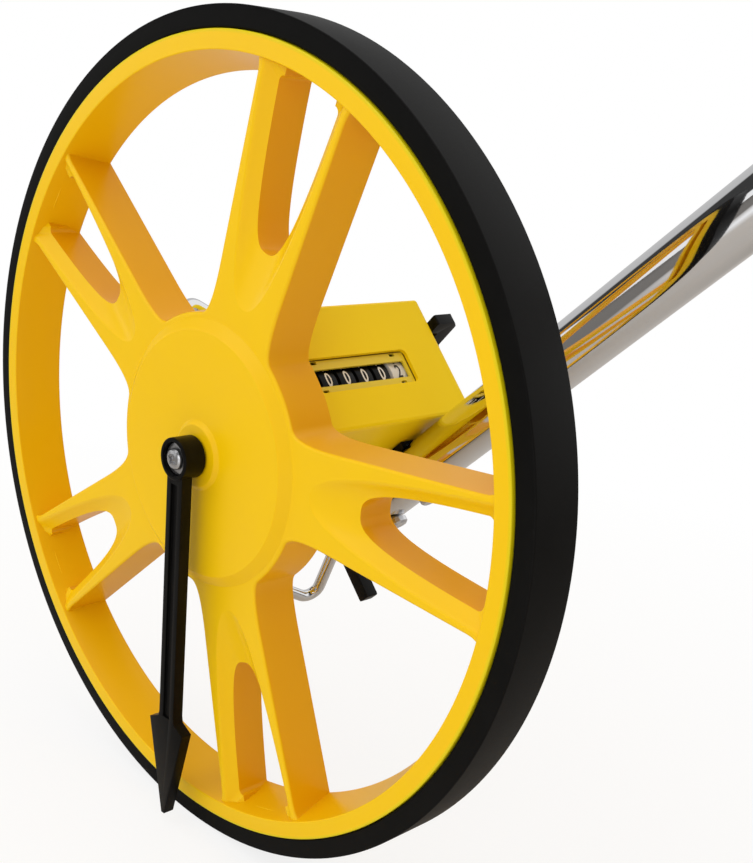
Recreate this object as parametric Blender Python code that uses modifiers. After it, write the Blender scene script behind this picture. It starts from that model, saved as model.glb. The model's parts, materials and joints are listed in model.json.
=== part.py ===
# Measuring wheel: a one-metre wheel with a gear-driven drum counter, on a folding tube handle.
# Metres, +Z up. The wheel turns about Y and rolls along X. The origin is where the tyre meets
# the floor, under the middle of its tread. Wheel pieces are placed from the middle of the axle
# line at the tyre's front face. Handle pieces are placed along the handle line, which leans
# back by handle_angle: there X runs up the handle, Y along the axle and Z square to both.

import math

import bmesh
import bpy
from mathutils import Vector

# Fits
mm = 0.001
seat_gap = 0.3 * mm
cut_overrun = 2.0 * mm

# Tyre and rim
wheel_circumference = 1000.0 * mm
wheel_radius = wheel_circumference / math.tau
tyre_width = 20.7 * mm
tyre_height = 7.7 * mm
tyre_edge_round = 0.7 * mm
tyre_tongue_depth = 2.6 * mm
tyre_tongue_width = 8.4 * mm
rim_front_proud = 1.0 * mm
rim_face_width = 7.2 * mm
rim_draft = 5.4 * mm
rim_depth = 20.1 * mm
rim_wall = 3.2 * mm
rim_groove_depth = 11.0 * mm
rim_edge_round = 0.5 * mm

# Spokes
spoke_count = 5
spoke_phase_degrees = 0.4
spoke_root_half_width = 17.4 * mm
spoke_tip_half_width = 22.6 * mm
spoke_root_radius = 50.0 * mm
spoke_front = 0.4 * mm
spoke_depth = 18.4 * mm
spoke_rim_fillet = 3.0 * mm
spoke_hub_fillet = 5.5 * mm
pocket_apex_radius = 63.5 * mm
pocket_throat_radius = 86.0 * mm
pocket_throat_half_width = 13.6 * mm
pocket_tip_half_width = 18.6 * mm
pocket_depth = 8.6 * mm
window_apex_radius = 80.5 * mm
window_throat_radius = 92.0 * mm
window_throat_half_width = 7.6 * mm
window_tip_half_width = 15.2 * mm
window_corner_radius = 3.5 * mm

# Hub
hub_disc_radius = 52.85 * mm
hub_disc_chamfer = 5.15 * mm
hub_disc_proud = 1.8 * mm
hub_disc_thickness = 4.2 * mm
hub_step = 0.4 * mm
hub_boss_base_radius = 13.6 * mm
hub_boss_radius = 12.0 * mm
hub_boss_proud = 4.0 * mm
hub_rear_boss_radius = 14.0 * mm
hub_wall_radius = 46.0 * mm
hub_rib_width = 2.6 * mm
hub_rib_count = 5

# Axle and its stack
axle_radius = 5.0 * mm
axle_nose_radius = 4.0 * mm
axle_nose_tip = 11.2 * mm
axle_tail = 110.0 * mm
axle_key_width = 3.0 * mm
axle_key_length = 12.0 * mm
axle_key_height = 2.0 * mm
rear_spacer_radius = 8.0 * mm
bearing_radius = 7.0 * mm
bearing_flange_radius = 8.8 * mm
bearing_flange = 1.4 * mm
bearing_length = 7.0 * mm
circlip_radius = 7.4 * mm
circlip_thickness = 1.0 * mm
circlip_groove_depth = 0.7 * mm

# Pointer
pointer_boss_radius = 8.2 * mm
pointer_boss_front = 14.0 * mm
pointer_recess_radius = 6.6 * mm
pointer_recess_depth = 3.1 * mm
pointer_arm_width = 9.6 * mm
pointer_arm_thickness = 4.8 * mm
pointer_arm_front = 12.9 * mm
pointer_groove_half_width = 1.9 * mm
pointer_groove_depth = 1.1 * mm
pointer_shoulder_drop = 113.0 * mm
pointer_tip_drop = 156.0 * mm
pointer_head_half_width = 12.5 * mm
pointer_shoulder_lift = 3.0 * mm
pointer_edge_round = 0.5 * mm
pointer_tip_half_width = 1.0 * mm
pointer_neck_drop = 1.0 * mm
pointer_washer_radius = 6.1 * mm
pointer_washer_thickness = 0.8 * mm
pointer_screw_head_radius = 4.3 * mm
pointer_screw_head_height = 2.0 * mm
pointer_screw_shank_radius = 2.0 * mm
pointer_screw_length = 14.0 * mm
screw_recess_width = 1.0 * mm
screw_recess_share = 0.62

# Handle line
handle_angle_degrees = 43.4
tube_radius = 11.0 * mm
tube_wall = 1.4 * mm
tube_offset = 30.2 * mm
tube_y = 86.1 * mm
tube_lower_end = 24.0 * mm
grip_top = 932.0 * mm
grip_length = 128.0 * mm
grip_radius = 16.5 * mm
grip_end_wall = 4.0 * mm
grip_rib_height = 1.1 * mm
grip_rib_count = 8

# Counter housing
housing_front = 42.2 * mm
housing_back = 16.0 * mm
housing_top = 36.6 * mm
housing_bottom = 18.0 * mm
housing_near = 24.0 * mm
housing_far = 104.9 * mm
housing_wall = 1.5 * mm
housing_round = 1.4 * mm
cover_wall = 1.2 * mm
cover_round = 0.4 * mm
cover_screw_radius = 2.6 * mm
cover_screw_shank_radius = 1.5 * mm
cover_screw_head = 1.6 * mm
cover_screw_length = 7.0 * mm
cover_lug_depth = 8.0 * mm
cover_screw_inset = 5.2 * mm

# Counter window and plate
window_near = 30.0 * mm
window_far = 83.5 * mm
window_bottom = -1.4 * mm
window_top = 13.6 * mm
window_round = 2.2 * mm
plate_thickness = 1.0 * mm
plate_margin = 5.0 * mm
slot_bottom = 2.0 * mm
slot_top = 9.4 * mm
slot_near = 31.0 * mm
slot_far = 81.5 * mm
clip_half_width = 1.5 * mm
clip_half_height = 0.7 * mm
clip_inset = 4.6 * mm
clip_far_inset = 6.6 * mm
clip_edge = 1.2 * mm

# Counter drums and gears
drum_count = 6
drum_pitch = 9.57 * mm
drum_width = 8.6 * mm
drum_radius = 11.0 * mm
drum_bore_radius = 2.0 * mm
drum_first_y = 30.23 * mm
drum_axis_height = 5.6 * mm
drum_axis_along = 28.2 * mm
drum_collar_radius = 7.4 * mm
drum_shaft_radius = 1.7 * mm
pinion_radius = 3.6 * mm
pinion_tooth_count = 8
pinion_tooth_depth = 0.9 * mm
pinion_length = 4.6 * mm
pinion_shaft_radius = 1.3 * mm
pinion_drum_gap = 0.8 * mm
pinion_drop = 1.0 * mm
gear_module_radius = 9.6 * mm
idler_radius = 7.6 * mm
gear_tooth_depth = 1.6 * mm
gear_mesh_gap = 0.35 * mm
gear_width = 4.6 * mm
gear_y = 89.2 * mm
drive_gear_teeth = 20
idler_teeth = 16
idler_pin_radius = 2.0 * mm
idler_pin_head_radius = 3.1 * mm
idler_pin_head = 1.2 * mm

# Reset lever
lever_pivot_along = 20.0 * mm
lever_pivot_height = 11.7 * mm
lever_pivot_radius = 7.0 * mm
lever_thickness = 4.6 * mm
lever_near = 112.0 * mm
lever_far = 120.0 * mm
lever_hook_near = 107.2 * mm
lever_tip_along = 44.8 * mm
lever_tip_height = 24.4 * mm
lever_hook_depth = 6.5 * mm
lever_hook_round = 0.46 * mm
lever_knee_along = 28.7 * mm
lever_knee_height = 15.3 * mm
reset_shaft_radius = 3.0 * mm
reset_shaft_inner = 99.0 * mm
reset_cap_radius = 4.2 * mm
reset_cap_height = 1.6 * mm
reset_screw_radius = 1.3 * mm
reset_screw_length = 6.0 * mm
spring_coil_radius = 3.9 * mm
spring_wire_radius = 0.45 * mm
spring_turns = 3

# Tube end block and kickstand
block_end = 53.0 * mm
block_flat_y = 86.6 * mm
block_plug_length = 9.0 * mm
tab_tip = 61.0 * mm
tab_width = 6.0 * mm
tab_thickness = 6.0 * mm
tab_along = 44.0 * mm
tab_near = 79.9 * mm
tab_round = 0.6 * mm
stand_wire_radius = 2.75 * mm
stand_pivot_along = 43.1 * mm
stand_leg_y = 90.2 * mm
stand_pin_end = 72.4 * mm
stand_pivot_height = 29.0 * mm
stand_bend_radius = 9.0 * mm
stand_pin_bend_radius = 3.44 * mm
stand_low_along = 82.9 * mm
stand_low_height = 47.6 * mm
stand_wheel_along = 61.0 * mm
stand_wheel_height = 24.3 * mm
stand_wheel_y = 27.2 * mm
stand_high_along = 6.3 * mm
stand_high_height = 74.8 * mm
stand_foot_y = 98.0 * mm
stand_foot_along = 31.0 * mm
stand_foot_height = 47.8 * mm
stand_clip_radius = 4.2 * mm
stand_clip_thickness = 0.9 * mm

# Tube fixing
bolt_near_along = 17.0 * mm
bolt_far_along = -6.0 * mm
saddle_length = 11.0 * mm
saddle_width = 14.0 * mm
bolt_radius = 2.2 * mm
bolt_head_radius = 4.4 * mm
bolt_head_height = 3.0 * mm
bolt_nut_radius = 4.2 * mm
bolt_nut_height = 3.2 * mm
nut_sides = 6
bolt_end_height = 11.6 * mm

# Folding joint
fold_along = 470.0 * mm
fold_cuff_length = 46.0 * mm
fold_cuff_wall = 2.6 * mm
fold_gap = 0.6 * mm
fold_pin_drop = 20.5 * mm
fold_lug_width = 7.0 * mm
fold_lug_radius = 5.8 * mm
fold_pin_radius = 2.2 * mm
fold_pin_head_radius = 4.2 * mm
fold_pin_head = 1.4 * mm
fold_side_lug_width = 5.0 * mm
fold_lug_gap = 0.4 * mm
fold_web_length = 16.0 * mm
knob_radius = 9.0 * mm
knob_length = 9.0 * mm
knob_lobe_count = 6
knob_lobe_depth = 1.4 * mm

# Mesh counts
rim_steps = 72
hub_steps = 54
round_steps = 28
small_steps = 14
axle_steps = 22
spring_steps = 12
stand_resolution = 3
grip_steps = 20
arc_points = 4

# Shares
weld_share = 0.01
hollow_bulge_shares = ((0.0, 0.0), (0.02, 0.16), (0.1, 0.38), (0.28, 0.64), (0.55, 0.84), (1.0, 1.0))
hollow_rise_share = 0.25
window_start_share = 0.5
groove_draft_share = 1 / 3
head_crown_shares = ((0.5, 0.94), (0.86, 0.62), (1.0, 0.25))
recess_depth_share = 0.45
recess_tip_share = 0.8
rivet_head_share = 1.6
lever_boss_share = 0.8
lever_knee_share = 1.4
lug_waist_share = 0.6
lug_root_share = 0.8
bolt_crown_share = 0.8
bolt_side_share = 0.7
grip_end_share = 0.8
grip_rib_shares = ((0.12, -1.0), (0.32, 0.0), (0.8, 0.0))
tooth_shares = ((-0.25, -0.5), (-0.13, 0.5), (0.13, 0.5), (0.25, -0.5))

# Angles
smooth_angle = 35.0
bevel_angle = 40.0
wire_angle = 60.0
quarter_turn = 90.0
half_turn = 180.0
full_turn = 360.0
circlip_opening = 25.0

handle_angle = math.radians(handle_angle_degrees)
rim_outer_radius = wheel_radius - tyre_height - seat_gap
rim_inner_front = rim_outer_radius + seat_gap - rim_face_width
spoke_angles = [math.radians(spoke_phase_degrees) + k * math.tau / spoke_count
                for k in range(spoke_count)]


def clear_scene():
    for item in list(bpy.data.objects):
        bpy.data.objects.remove(item, do_unlink=True)


def make_collection(name):
    collection = bpy.data.collections.new(name)
    bpy.context.scene.collection.children.link(collection)
    return collection


def make_empty(name, location, rotation, parent):
    empty = bpy.data.objects.new(name, None)
    empty.location = location
    empty.rotation_euler = rotation
    empty.parent = parent
    parts.objects.link(empty)
    return empty


def make_material(name, color, roughness, metallic):
    material = bpy.data.materials.new(name)
    material.use_nodes = True
    shader = material.node_tree.nodes["Principled BSDF"]
    shader.inputs["Base Color"].default_value = (*color, 1.0)
    shader.inputs["Roughness"].default_value = roughness
    shader.inputs["Metallic"].default_value = metallic
    return material


def place(item, parent, location=(0.0, 0.0, 0.0), rotation=(0.0, 0.0, 0.0)):
    item.parent = parent
    item.location = location
    item.rotation_euler = rotation
    return item


def link_mesh(name, mesh, material, collection=None):
    item = bpy.data.objects.new(name, mesh)
    (collection or parts).objects.link(item)
    if material:
        mesh.materials.clear()
        mesh.materials.append(material)
    return item


def mesh_from_bmesh(name, shape):
    mesh = bpy.data.meshes.new(name)
    bmesh.ops.recalc_face_normals(shape, faces=shape.faces)
    shape.to_mesh(mesh)
    shape.free()
    return mesh


def evaluated_mesh(item):
    bpy.context.view_layer.update()
    source = item.evaluated_get(bpy.context.evaluated_depsgraph_get())
    return bpy.data.meshes.new_from_object(source)


def weld(mesh):
    shape = bmesh.new()
    shape.from_mesh(mesh)
    bmesh.ops.remove_doubles(shape, verts=shape.verts, dist=weld_share * seat_gap)
    bmesh.ops.recalc_face_normals(shape, faces=shape.faces)
    shape.to_mesh(mesh)
    shape.free()
    return mesh


def smooth(item, angle_degrees=smooth_angle):
    mesh = evaluated_mesh(item)
    item.modifiers.clear()
    mesh.shade_smooth()
    mesh.set_sharp_from_angle(angle=math.radians(angle_degrees))
    old = item.data
    item.data = mesh
    bpy.data.meshes.remove(old)
    return item


# A turned solid: profile points are (radius, distance along Y), run from the -Y end of the
# outer side to the +Y end, starting and ending on the axis, or closing on themselves.
def turned(name, profile, material, parent, location=(0.0, 0.0, 0.0), steps=round_steps, collection=None):
    mesh = bpy.data.meshes.new(name)
    points = [(radius, 0.0, along) for radius, along in reversed(profile)]
    closed = min(radius for radius, along in profile) > 0.0
    edges = [(k, k + 1) for k in range(len(points) - 1)]
    if closed:
        edges.append((len(points) - 1, 0))
    mesh.from_pydata(points, edges, [])
    item = link_mesh(name, mesh, material, collection)
    screw = item.modifiers.new("turn", "SCREW")
    screw.axis = "Z"
    screw.steps = steps
    screw.render_steps = steps
    screw.use_merge_vertices = True
    screw.merge_threshold = weld_share * seat_gap
    item.data = weld(evaluated_mesh(item))
    item.modifiers.clear()
    bpy.data.meshes.remove(mesh)
    return place(item, parent, location, (-math.pi / 2, 0.0, 0.0))


def ring_profile(outer, inner, start, end):
    return [(inner, start), (outer, start), (outer, end), (inner, end)]


def rod_profile(radius, start, end):
    return [(0.0, start), (radius, start), (radius, end), (0.0, end)]


# A flat piece: outlines are closed loops of (x, z); the first is the edge, the rest are holes.
def flat_piece(name, outlines, near, far, material, parent, location=(0.0, 0.0, 0.0), collection=None):
    curve = bpy.data.curves.new(name, "CURVE")
    curve.dimensions = "2D"
    curve.fill_mode = "BOTH"
    curve.extrude = (far - near) / 2
    for outline in outlines:
        spline = curve.splines.new("POLY")
        spline.points.add(len(outline) - 1)
        for point, (x, z) in zip(spline.points, outline):
            point.co = (x, z, 0.0, 1.0)
        spline.use_cyclic_u = True
    guide = bpy.data.objects.new(name + "_outline", curve)
    parts.objects.link(guide)
    mesh = weld(evaluated_mesh(guide))
    bpy.data.objects.remove(guide, do_unlink=True)
    bpy.data.curves.remove(curve)
    for vertex in mesh.vertices:
        x, z, depth = vertex.co
        vertex.co = (x, (near + far) / 2 - depth, z)
    item = link_mesh(name, mesh, material, collection)
    return place(item, parent, location)


def wire(name, points, radius, material, parent, location=(0.0, 0.0, 0.0), resolution=2):
    curve = bpy.data.curves.new(name, "CURVE")
    curve.dimensions = "3D"
    curve.bevel_depth = radius
    curve.bevel_resolution = resolution
    curve.use_fill_caps = True
    spline = curve.splines.new("POLY")
    spline.points.add(len(points) - 1)
    for point, place_at in zip(spline.points, points):
        point.co = (*place_at, 1.0)
    guide = bpy.data.objects.new(name + "_path", curve)
    parts.objects.link(guide)
    mesh = weld(evaluated_mesh(guide))
    bpy.data.objects.remove(guide, do_unlink=True)
    bpy.data.curves.remove(curve)
    item = link_mesh(name, mesh, material)
    return place(item, parent, location)


def block(name, low, high, material, parent, location=(0.0, 0.0, 0.0), round_by=0.0, collection=None):
    shape = bmesh.new()
    bmesh.ops.create_cube(shape, size=1.0)
    for vertex in shape.verts:
        vertex.co = [high[k] if vertex.co[k] > 0.0 else low[k] for k in range(len(vertex.co))]
    item = link_mesh(name, mesh_from_bmesh(name, shape), material, collection)
    if round_by > 0.0:
        bevel = item.modifiers.new("edges", "BEVEL")
        bevel.width = round_by
        bevel.segments = 2
        bevel.limit_method = "ANGLE"
        item.data = evaluated_mesh(item)
        item.modifiers.clear()
    return place(item, parent, location)


def bevel_edges(item, width, segments=2, angle_degrees=bevel_angle):
    bevel = item.modifiers.new("edges", "BEVEL")
    bevel.width = width
    bevel.segments = segments
    bevel.limit_method = "ANGLE"
    bevel.angle_limit = math.radians(angle_degrees)
    item.data = evaluated_mesh(item)
    item.modifiers.clear()
    return item


def combine(item, tools, operation):
    for tool in tools:
        change = item.modifiers.new("cut" if operation == "DIFFERENCE" else "join", "BOOLEAN")
        change.operation = operation
        change.solver = "EXACT"
        change.object = tool
    mesh = evaluated_mesh(item)
    item.modifiers.clear()
    item.data = mesh
    for tool in tools:
        bpy.data.objects.remove(tool, do_unlink=True)
    return item


def cut(item, *tools):
    return combine(item, tools, "DIFFERENCE")


def join(item, *tools):
    return combine(item, tools, "UNION")


def arc(center_x, center_z, radius, start_degrees, end_degrees, points=arc_points):
    found = []
    for k in range(points + 1):
        angle = math.radians(start_degrees + (end_degrees - start_degrees) * k / points)
        found.append((center_x + radius * math.cos(angle), center_z + radius * math.sin(angle)))
    return found


def circle(center_x, center_z, radius, points=small_steps):
    return arc(center_x, center_z, radius, 0.0, full_turn - full_turn / points, points - 1)


def rounded_box(x_low, z_low, x_high, z_high, radius):
    found = arc(x_high - radius, z_high - radius, radius, 0.0, quarter_turn)
    found += arc(x_low + radius, z_high - radius, radius, quarter_turn, half_turn)
    found += arc(x_low + radius, z_low + radius, radius, half_turn, half_turn + quarter_turn)
    found += arc(x_high - radius, z_low + radius, radius, -quarter_turn, 0.0)
    return found


def turn_outline(outline, angle):
    cosine = math.cos(angle)
    sine = math.sin(angle)
    return [(x * cosine - z * sine, x * sine + z * cosine) for x, z in outline]


# Corner rounding of a path: each inner corner becomes an arc of straight steps.
def rounded_path(corners, radius, steps=arc_points):
    corners = [Vector(corner) for corner in corners]
    found = [corners[0]]
    for before, corner, after in zip(corners, corners[1:], corners[2:]):
        back = (before - corner).normalized()
        ahead = (after - corner).normalized()
        half = back.angle(ahead) / 2
        reach = radius / math.tan(half)
        center = corner + (back + ahead).normalized() * radius / math.sin(half)
        start = corner + back * reach - center
        end = corner + ahead * reach - center
        turn = start.angle(end)
        for k in range(steps + 1):
            share = k / steps
            point = start * math.sin((1 - share) * turn) + end * math.sin(share * turn)
            found.append(center + point / math.sin(turn))
    found.append(corners[-1])
    return found


def gear_outline(center_x, center_z, pitch_radius, tooth_depth, teeth, phase_degrees=0.0):
    found = []
    for tooth in range(teeth):
        for turn_share, depth_share in tooth_shares:
            angle = math.radians(phase_degrees) + (tooth + turn_share) * math.tau / teeth
            radius = pitch_radius + depth_share * tooth_depth
            found.append((center_x + radius * math.cos(angle), center_z + radius * math.sin(angle)))
    return found


# Tyre: a flat tread band with a tongue that sits in the rim's groove.
def build_tyre():
    inner = wheel_radius - tyre_height
    tongue_inner = inner - tyre_tongue_depth
    tongue_start = (tyre_width - tyre_tongue_width) / 2
    tongue_end = tongue_start + tyre_tongue_width
    profile = [
        (inner, 0.0),
        (wheel_radius - tyre_edge_round, 0.0),
        (wheel_radius, tyre_edge_round),
        (wheel_radius, tyre_width - tyre_edge_round),
        (wheel_radius - tyre_edge_round, tyre_width),
        (inner, tyre_width),
        (inner, tongue_end),
        (tongue_inner, tongue_end),
        (tongue_inner, tongue_start),
        (inner, tongue_start),
    ]
    item = turned("tyre", profile, rubber, wheel_centre, steps=rim_steps)
    item.rotation_euler.y = math.pi / rim_steps
    return smooth(item)


def rim_solid():
    tongue_inner = rim_outer_radius - tyre_tongue_depth
    tongue_start = (tyre_width - tyre_tongue_width) / 2 - seat_gap
    tongue_end = tyre_width - tongue_start
    rim_back = rim_depth - rim_front_proud
    inner_back = rim_inner_front - rim_draft
    groove_floor = rim_back - rim_groove_depth
    groove_outer = tongue_inner - rim_wall
    groove_inner = inner_back + rim_wall
    profile = [
        (rim_inner_front, -rim_front_proud),
        (rim_outer_radius + seat_gap - rim_edge_round, -rim_front_proud),
        (rim_outer_radius, rim_edge_round - rim_front_proud),
        (rim_outer_radius, tongue_start),
        (tongue_inner, tongue_start),
        (tongue_inner, tongue_end),
        (rim_outer_radius, tongue_end),
        (rim_outer_radius, rim_back),
        (groove_outer, rim_back),
        (groove_outer, groove_floor),
        (groove_inner + rim_draft * groove_draft_share, groove_floor),
        (groove_inner, rim_back),
        (inner_back, rim_back),
    ]
    return turned("wheel", profile, yellow_plastic, wheel_centre, steps=rim_steps)


def spoke_outline():
    hub_reach = spoke_root_radius
    rim_reach = rim_inner_front - rim_draft / 2 + spoke_rim_fillet
    slope = (spoke_tip_half_width - spoke_root_half_width) / (rim_inner_front - spoke_root_radius)
    root = spoke_root_half_width
    flare_start = rim_reach - 2 * spoke_rim_fillet
    tip = root + slope * (flare_start - hub_reach)
    upper = [(hub_reach - hub_boss_radius, root), (hub_reach, root), (flare_start, tip)]
    upper += [(flare_start + spoke_rim_fillet,
               tip + slope * spoke_rim_fillet + spoke_rim_fillet * groove_draft_share),
              (rim_reach, tip + spoke_rim_fillet)]
    return [(x, -z) for x, z in upper] + [(x, z) for x, z in reversed(upper)]


# The scooped pocket's edge at the spoke's front, as one side of its outline from apex to rim.
def pocket_side(apex, throat, throat_half, tip_half, reach):
    side = [(apex + (throat - apex) * along, throat_half * across) for along, across in hollow_bulge_shares]
    side.append((reach, tip_half))
    return side


def mirrored(side):
    return side + [(x, -z) for x, z in reversed(side) if z > 0.0]


def pocket_cutter(angle, number):
    reach = rim_inner_front - rim_draft * (pocket_depth / rim_depth) - seat_gap
    front = mirrored(pocket_side(pocket_apex_radius, pocket_throat_radius, pocket_throat_half_width,
                                 pocket_tip_half_width, reach))
    back = mirrored(pocket_side(window_apex_radius, window_throat_radius, window_throat_half_width,
                                window_tip_half_width, reach))
    depths = (spoke_front - pocket_depth * hollow_rise_share, spoke_front + pocket_depth)
    shape = bmesh.new()
    rows = []
    for depth, share in zip(depths, (1.0 + hollow_rise_share, 0.0)):
        row = []
        for (front_x, front_z), (back_x, back_z) in zip(front, back):
            x = back_x + (front_x - back_x) * share
            z = back_z + (front_z - back_z) * share
            spot = Vector((x * math.cos(angle) - z * math.sin(angle), depth,
                           x * math.sin(angle) + z * math.cos(angle)))
            row.append(shape.verts.new(spot))
        rows.append(row)
    count = len(front)
    for upper, lower in zip(rows, rows[1:]):
        for k in range(count):
            after = (k + 1) % count
            shape.faces.new((upper[k], upper[after], lower[after], lower[k]))
    shape.faces.new(rows[0])
    shape.faces.new(list(reversed(rows[-1])))
    return place(link_mesh("pocket_cutter_%d" % number, mesh_from_bmesh("pocket", shape), None, cutters),
                 wheel_centre)


def window_cutter(angle, number):
    reach = rim_inner_front - rim_draft - seat_gap
    side = pocket_side(window_apex_radius, window_throat_radius, window_throat_half_width,
                       window_tip_half_width, reach - window_corner_radius)
    corner = arc(reach - window_corner_radius, window_tip_half_width - window_corner_radius,
                 window_corner_radius, quarter_turn, 0.0)
    outline = turn_outline(mirrored(side[:-1] + corner), angle)
    return flat_piece("window_cutter_%d" % number, [outline], pocket_depth * window_start_share,
                      spoke_depth + cut_overrun, None, wheel_centre, collection=cutters)


def hub_rib_cutters():
    tools = []
    inner = hub_rear_boss_radius
    outer = hub_wall_radius
    sector = math.tau / hub_rib_count
    for k in range(hub_rib_count):
        start = k * sector + sector / 2 + spoke_angles[0]
        inner_lean = hub_rib_width / 2 / inner
        outer_lean = hub_rib_width / 2 / outer
        outline = []
        steps = 2 * arc_points
        for j in range(steps + 1):
            angle = start + outer_lean + (sector - 2 * outer_lean) * j / steps
            outline.append((outer * math.cos(angle), outer * math.sin(angle)))
        for j in range(arc_points + 1):
            angle = start + sector - inner_lean - (sector - 2 * inner_lean) * j / arc_points
            outline.append((inner * math.cos(angle), inner * math.sin(angle)))
        tools.append(flat_piece("rib_cutter_%d" % k, [outline], hub_disc_thickness - hub_disc_proud,
                                spoke_depth + cut_overrun, None, wheel_centre, collection=cutters))
    return tools


def hub_solid():
    base_radius = hub_disc_radius
    back = spoke_front + spoke_depth - hub_step
    profile = [
        (0.0, -hub_boss_proud),
        (hub_boss_radius, -hub_boss_proud),
        (hub_boss_base_radius, -hub_disc_proud),
        (base_radius - hub_disc_chamfer, -hub_disc_proud),
        (base_radius, spoke_front + hub_step),
        (base_radius, back),
        (0.0, back),
    ]
    return turned("hub_solid", profile, None, wheel_centre, steps=hub_steps, collection=cutters)


# The curved web between neighbouring spokes at the hub, as a fillet ring segment.
def hub_web():
    reach = hub_disc_radius + hub_disc_chamfer / 2
    points = []
    for k in range(spoke_count):
        middle = spoke_angles[k] + math.pi / spoke_count
        half = math.pi / spoke_count
        for j in range(2 * arc_points):
            share = j / arc_points - 1.0
            bulge = abs(share) ** 3 * spoke_hub_fillet
            angle = middle + share * half
            points.append(((reach + bulge) * math.cos(angle), (reach + bulge) * math.sin(angle)))
    return flat_piece("hub_web", [points], spoke_front + hub_step / 2,
                      spoke_front + spoke_depth - hub_step / 2, None, wheel_centre, collection=cutters)


def build_wheel():
    wheel = rim_solid()
    spokes = []
    for k, angle in enumerate(spoke_angles):
        spokes.append(flat_piece("spoke_%d" % k, [turn_outline(spoke_outline(), angle)], spoke_front,
                                 spoke_front + spoke_depth, None, wheel_centre, collection=cutters))
    hub = join(hub_solid(), hub_web(), *spokes)
    tools = [pocket_cutter(angle, k) for k, angle in enumerate(spoke_angles)]
    tools += [window_cutter(angle, k) for k, angle in enumerate(spoke_angles)]
    tools += hub_rib_cutters()
    cut(hub, *tools)
    join(wheel, hub)
    bore = turned("bore_cutter", rod_profile(axle_radius + seat_gap, -hub_boss_proud - cut_overrun,
                                             spoke_front + spoke_depth + cut_overrun),
                  None, wheel_centre, steps=small_steps, collection=cutters)
    key = axle_key_box(seat_gap, "key_cutter", None, cutters)
    cut(wheel, bore, key)
    return smooth(wheel)


def axle_key_box(grow, name, material, collection=None):
    middle = tyre_width / 2
    low = (-axle_key_width / 2 - grow, middle - axle_key_length / 2 - grow, axle_radius / 2)
    high = (axle_key_width / 2 + grow, middle + axle_key_length / 2 + grow,
            axle_radius + axle_key_height / 2 + grow)
    if grow > 0.0:
        high = (high[0], spoke_front + spoke_depth + cut_overrun, high[2])
    return block(name, low, high, material, wheel_centre, collection=collection)


def build_axle():
    groove_start = housing_far + bearing_flange + 2 * seat_gap
    groove_end = groove_start + circlip_thickness + 2 * seat_gap
    nose_start = -hub_boss_proud
    profile = [
        (0.0, -axle_nose_tip),
        (axle_nose_radius, -axle_nose_tip),
        (axle_nose_radius, nose_start),
        (axle_radius, nose_start),
        (axle_radius, groove_start),
        (axle_radius - circlip_groove_depth, groove_start),
        (axle_radius - circlip_groove_depth, groove_end),
        (axle_radius, groove_end),
        (axle_radius, axle_tail),
        (0.0, axle_tail),
    ]
    axle = turned("axle", profile, steel, wheel_centre, steps=axle_steps)
    screw_hole = turned("screw_hole", rod_profile(pointer_screw_shank_radius + seat_gap,
                                                  -axle_nose_tip - cut_overrun,
                                                  pointer_screw_length - axle_nose_tip + cut_overrun),
                        None, wheel_centre, steps=small_steps, collection=cutters)
    middle = tyre_width / 2
    slot = block("key_slot", (-axle_key_width / 2 - seat_gap, middle - axle_key_length / 2 - seat_gap,
                              axle_radius / 2 - seat_gap),
                 (axle_key_width / 2 + seat_gap, middle + axle_key_length / 2 + seat_gap,
                  2 * axle_radius), None, wheel_centre, collection=cutters)
    cut(axle, screw_hole, slot)
    smooth(axle)
    axle_key_box(0.0, "axle_key", steel)
    spacer_start = spoke_front + spoke_depth + seat_gap
    spacer_end = housing_near - bearing_flange - 2 * seat_gap
    turned("rear_spacer", ring_profile(rear_spacer_radius, axle_radius + seat_gap, spacer_start, spacer_end),
           zinc, wheel_centre)
    return axle


def circlip(name, center_y, shaft_radius, outer, thickness, parent, along=0.0, height=0.0):
    start = circlip_opening
    end = full_turn - circlip_opening
    points = arc(along, height, outer, start, end, small_steps)
    points += arc(along, height, shaft_radius, end, start, small_steps)
    return flat_piece(name, [points], center_y - thickness / 2, center_y + thickness / 2, spring_steel,
                      parent)


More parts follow.
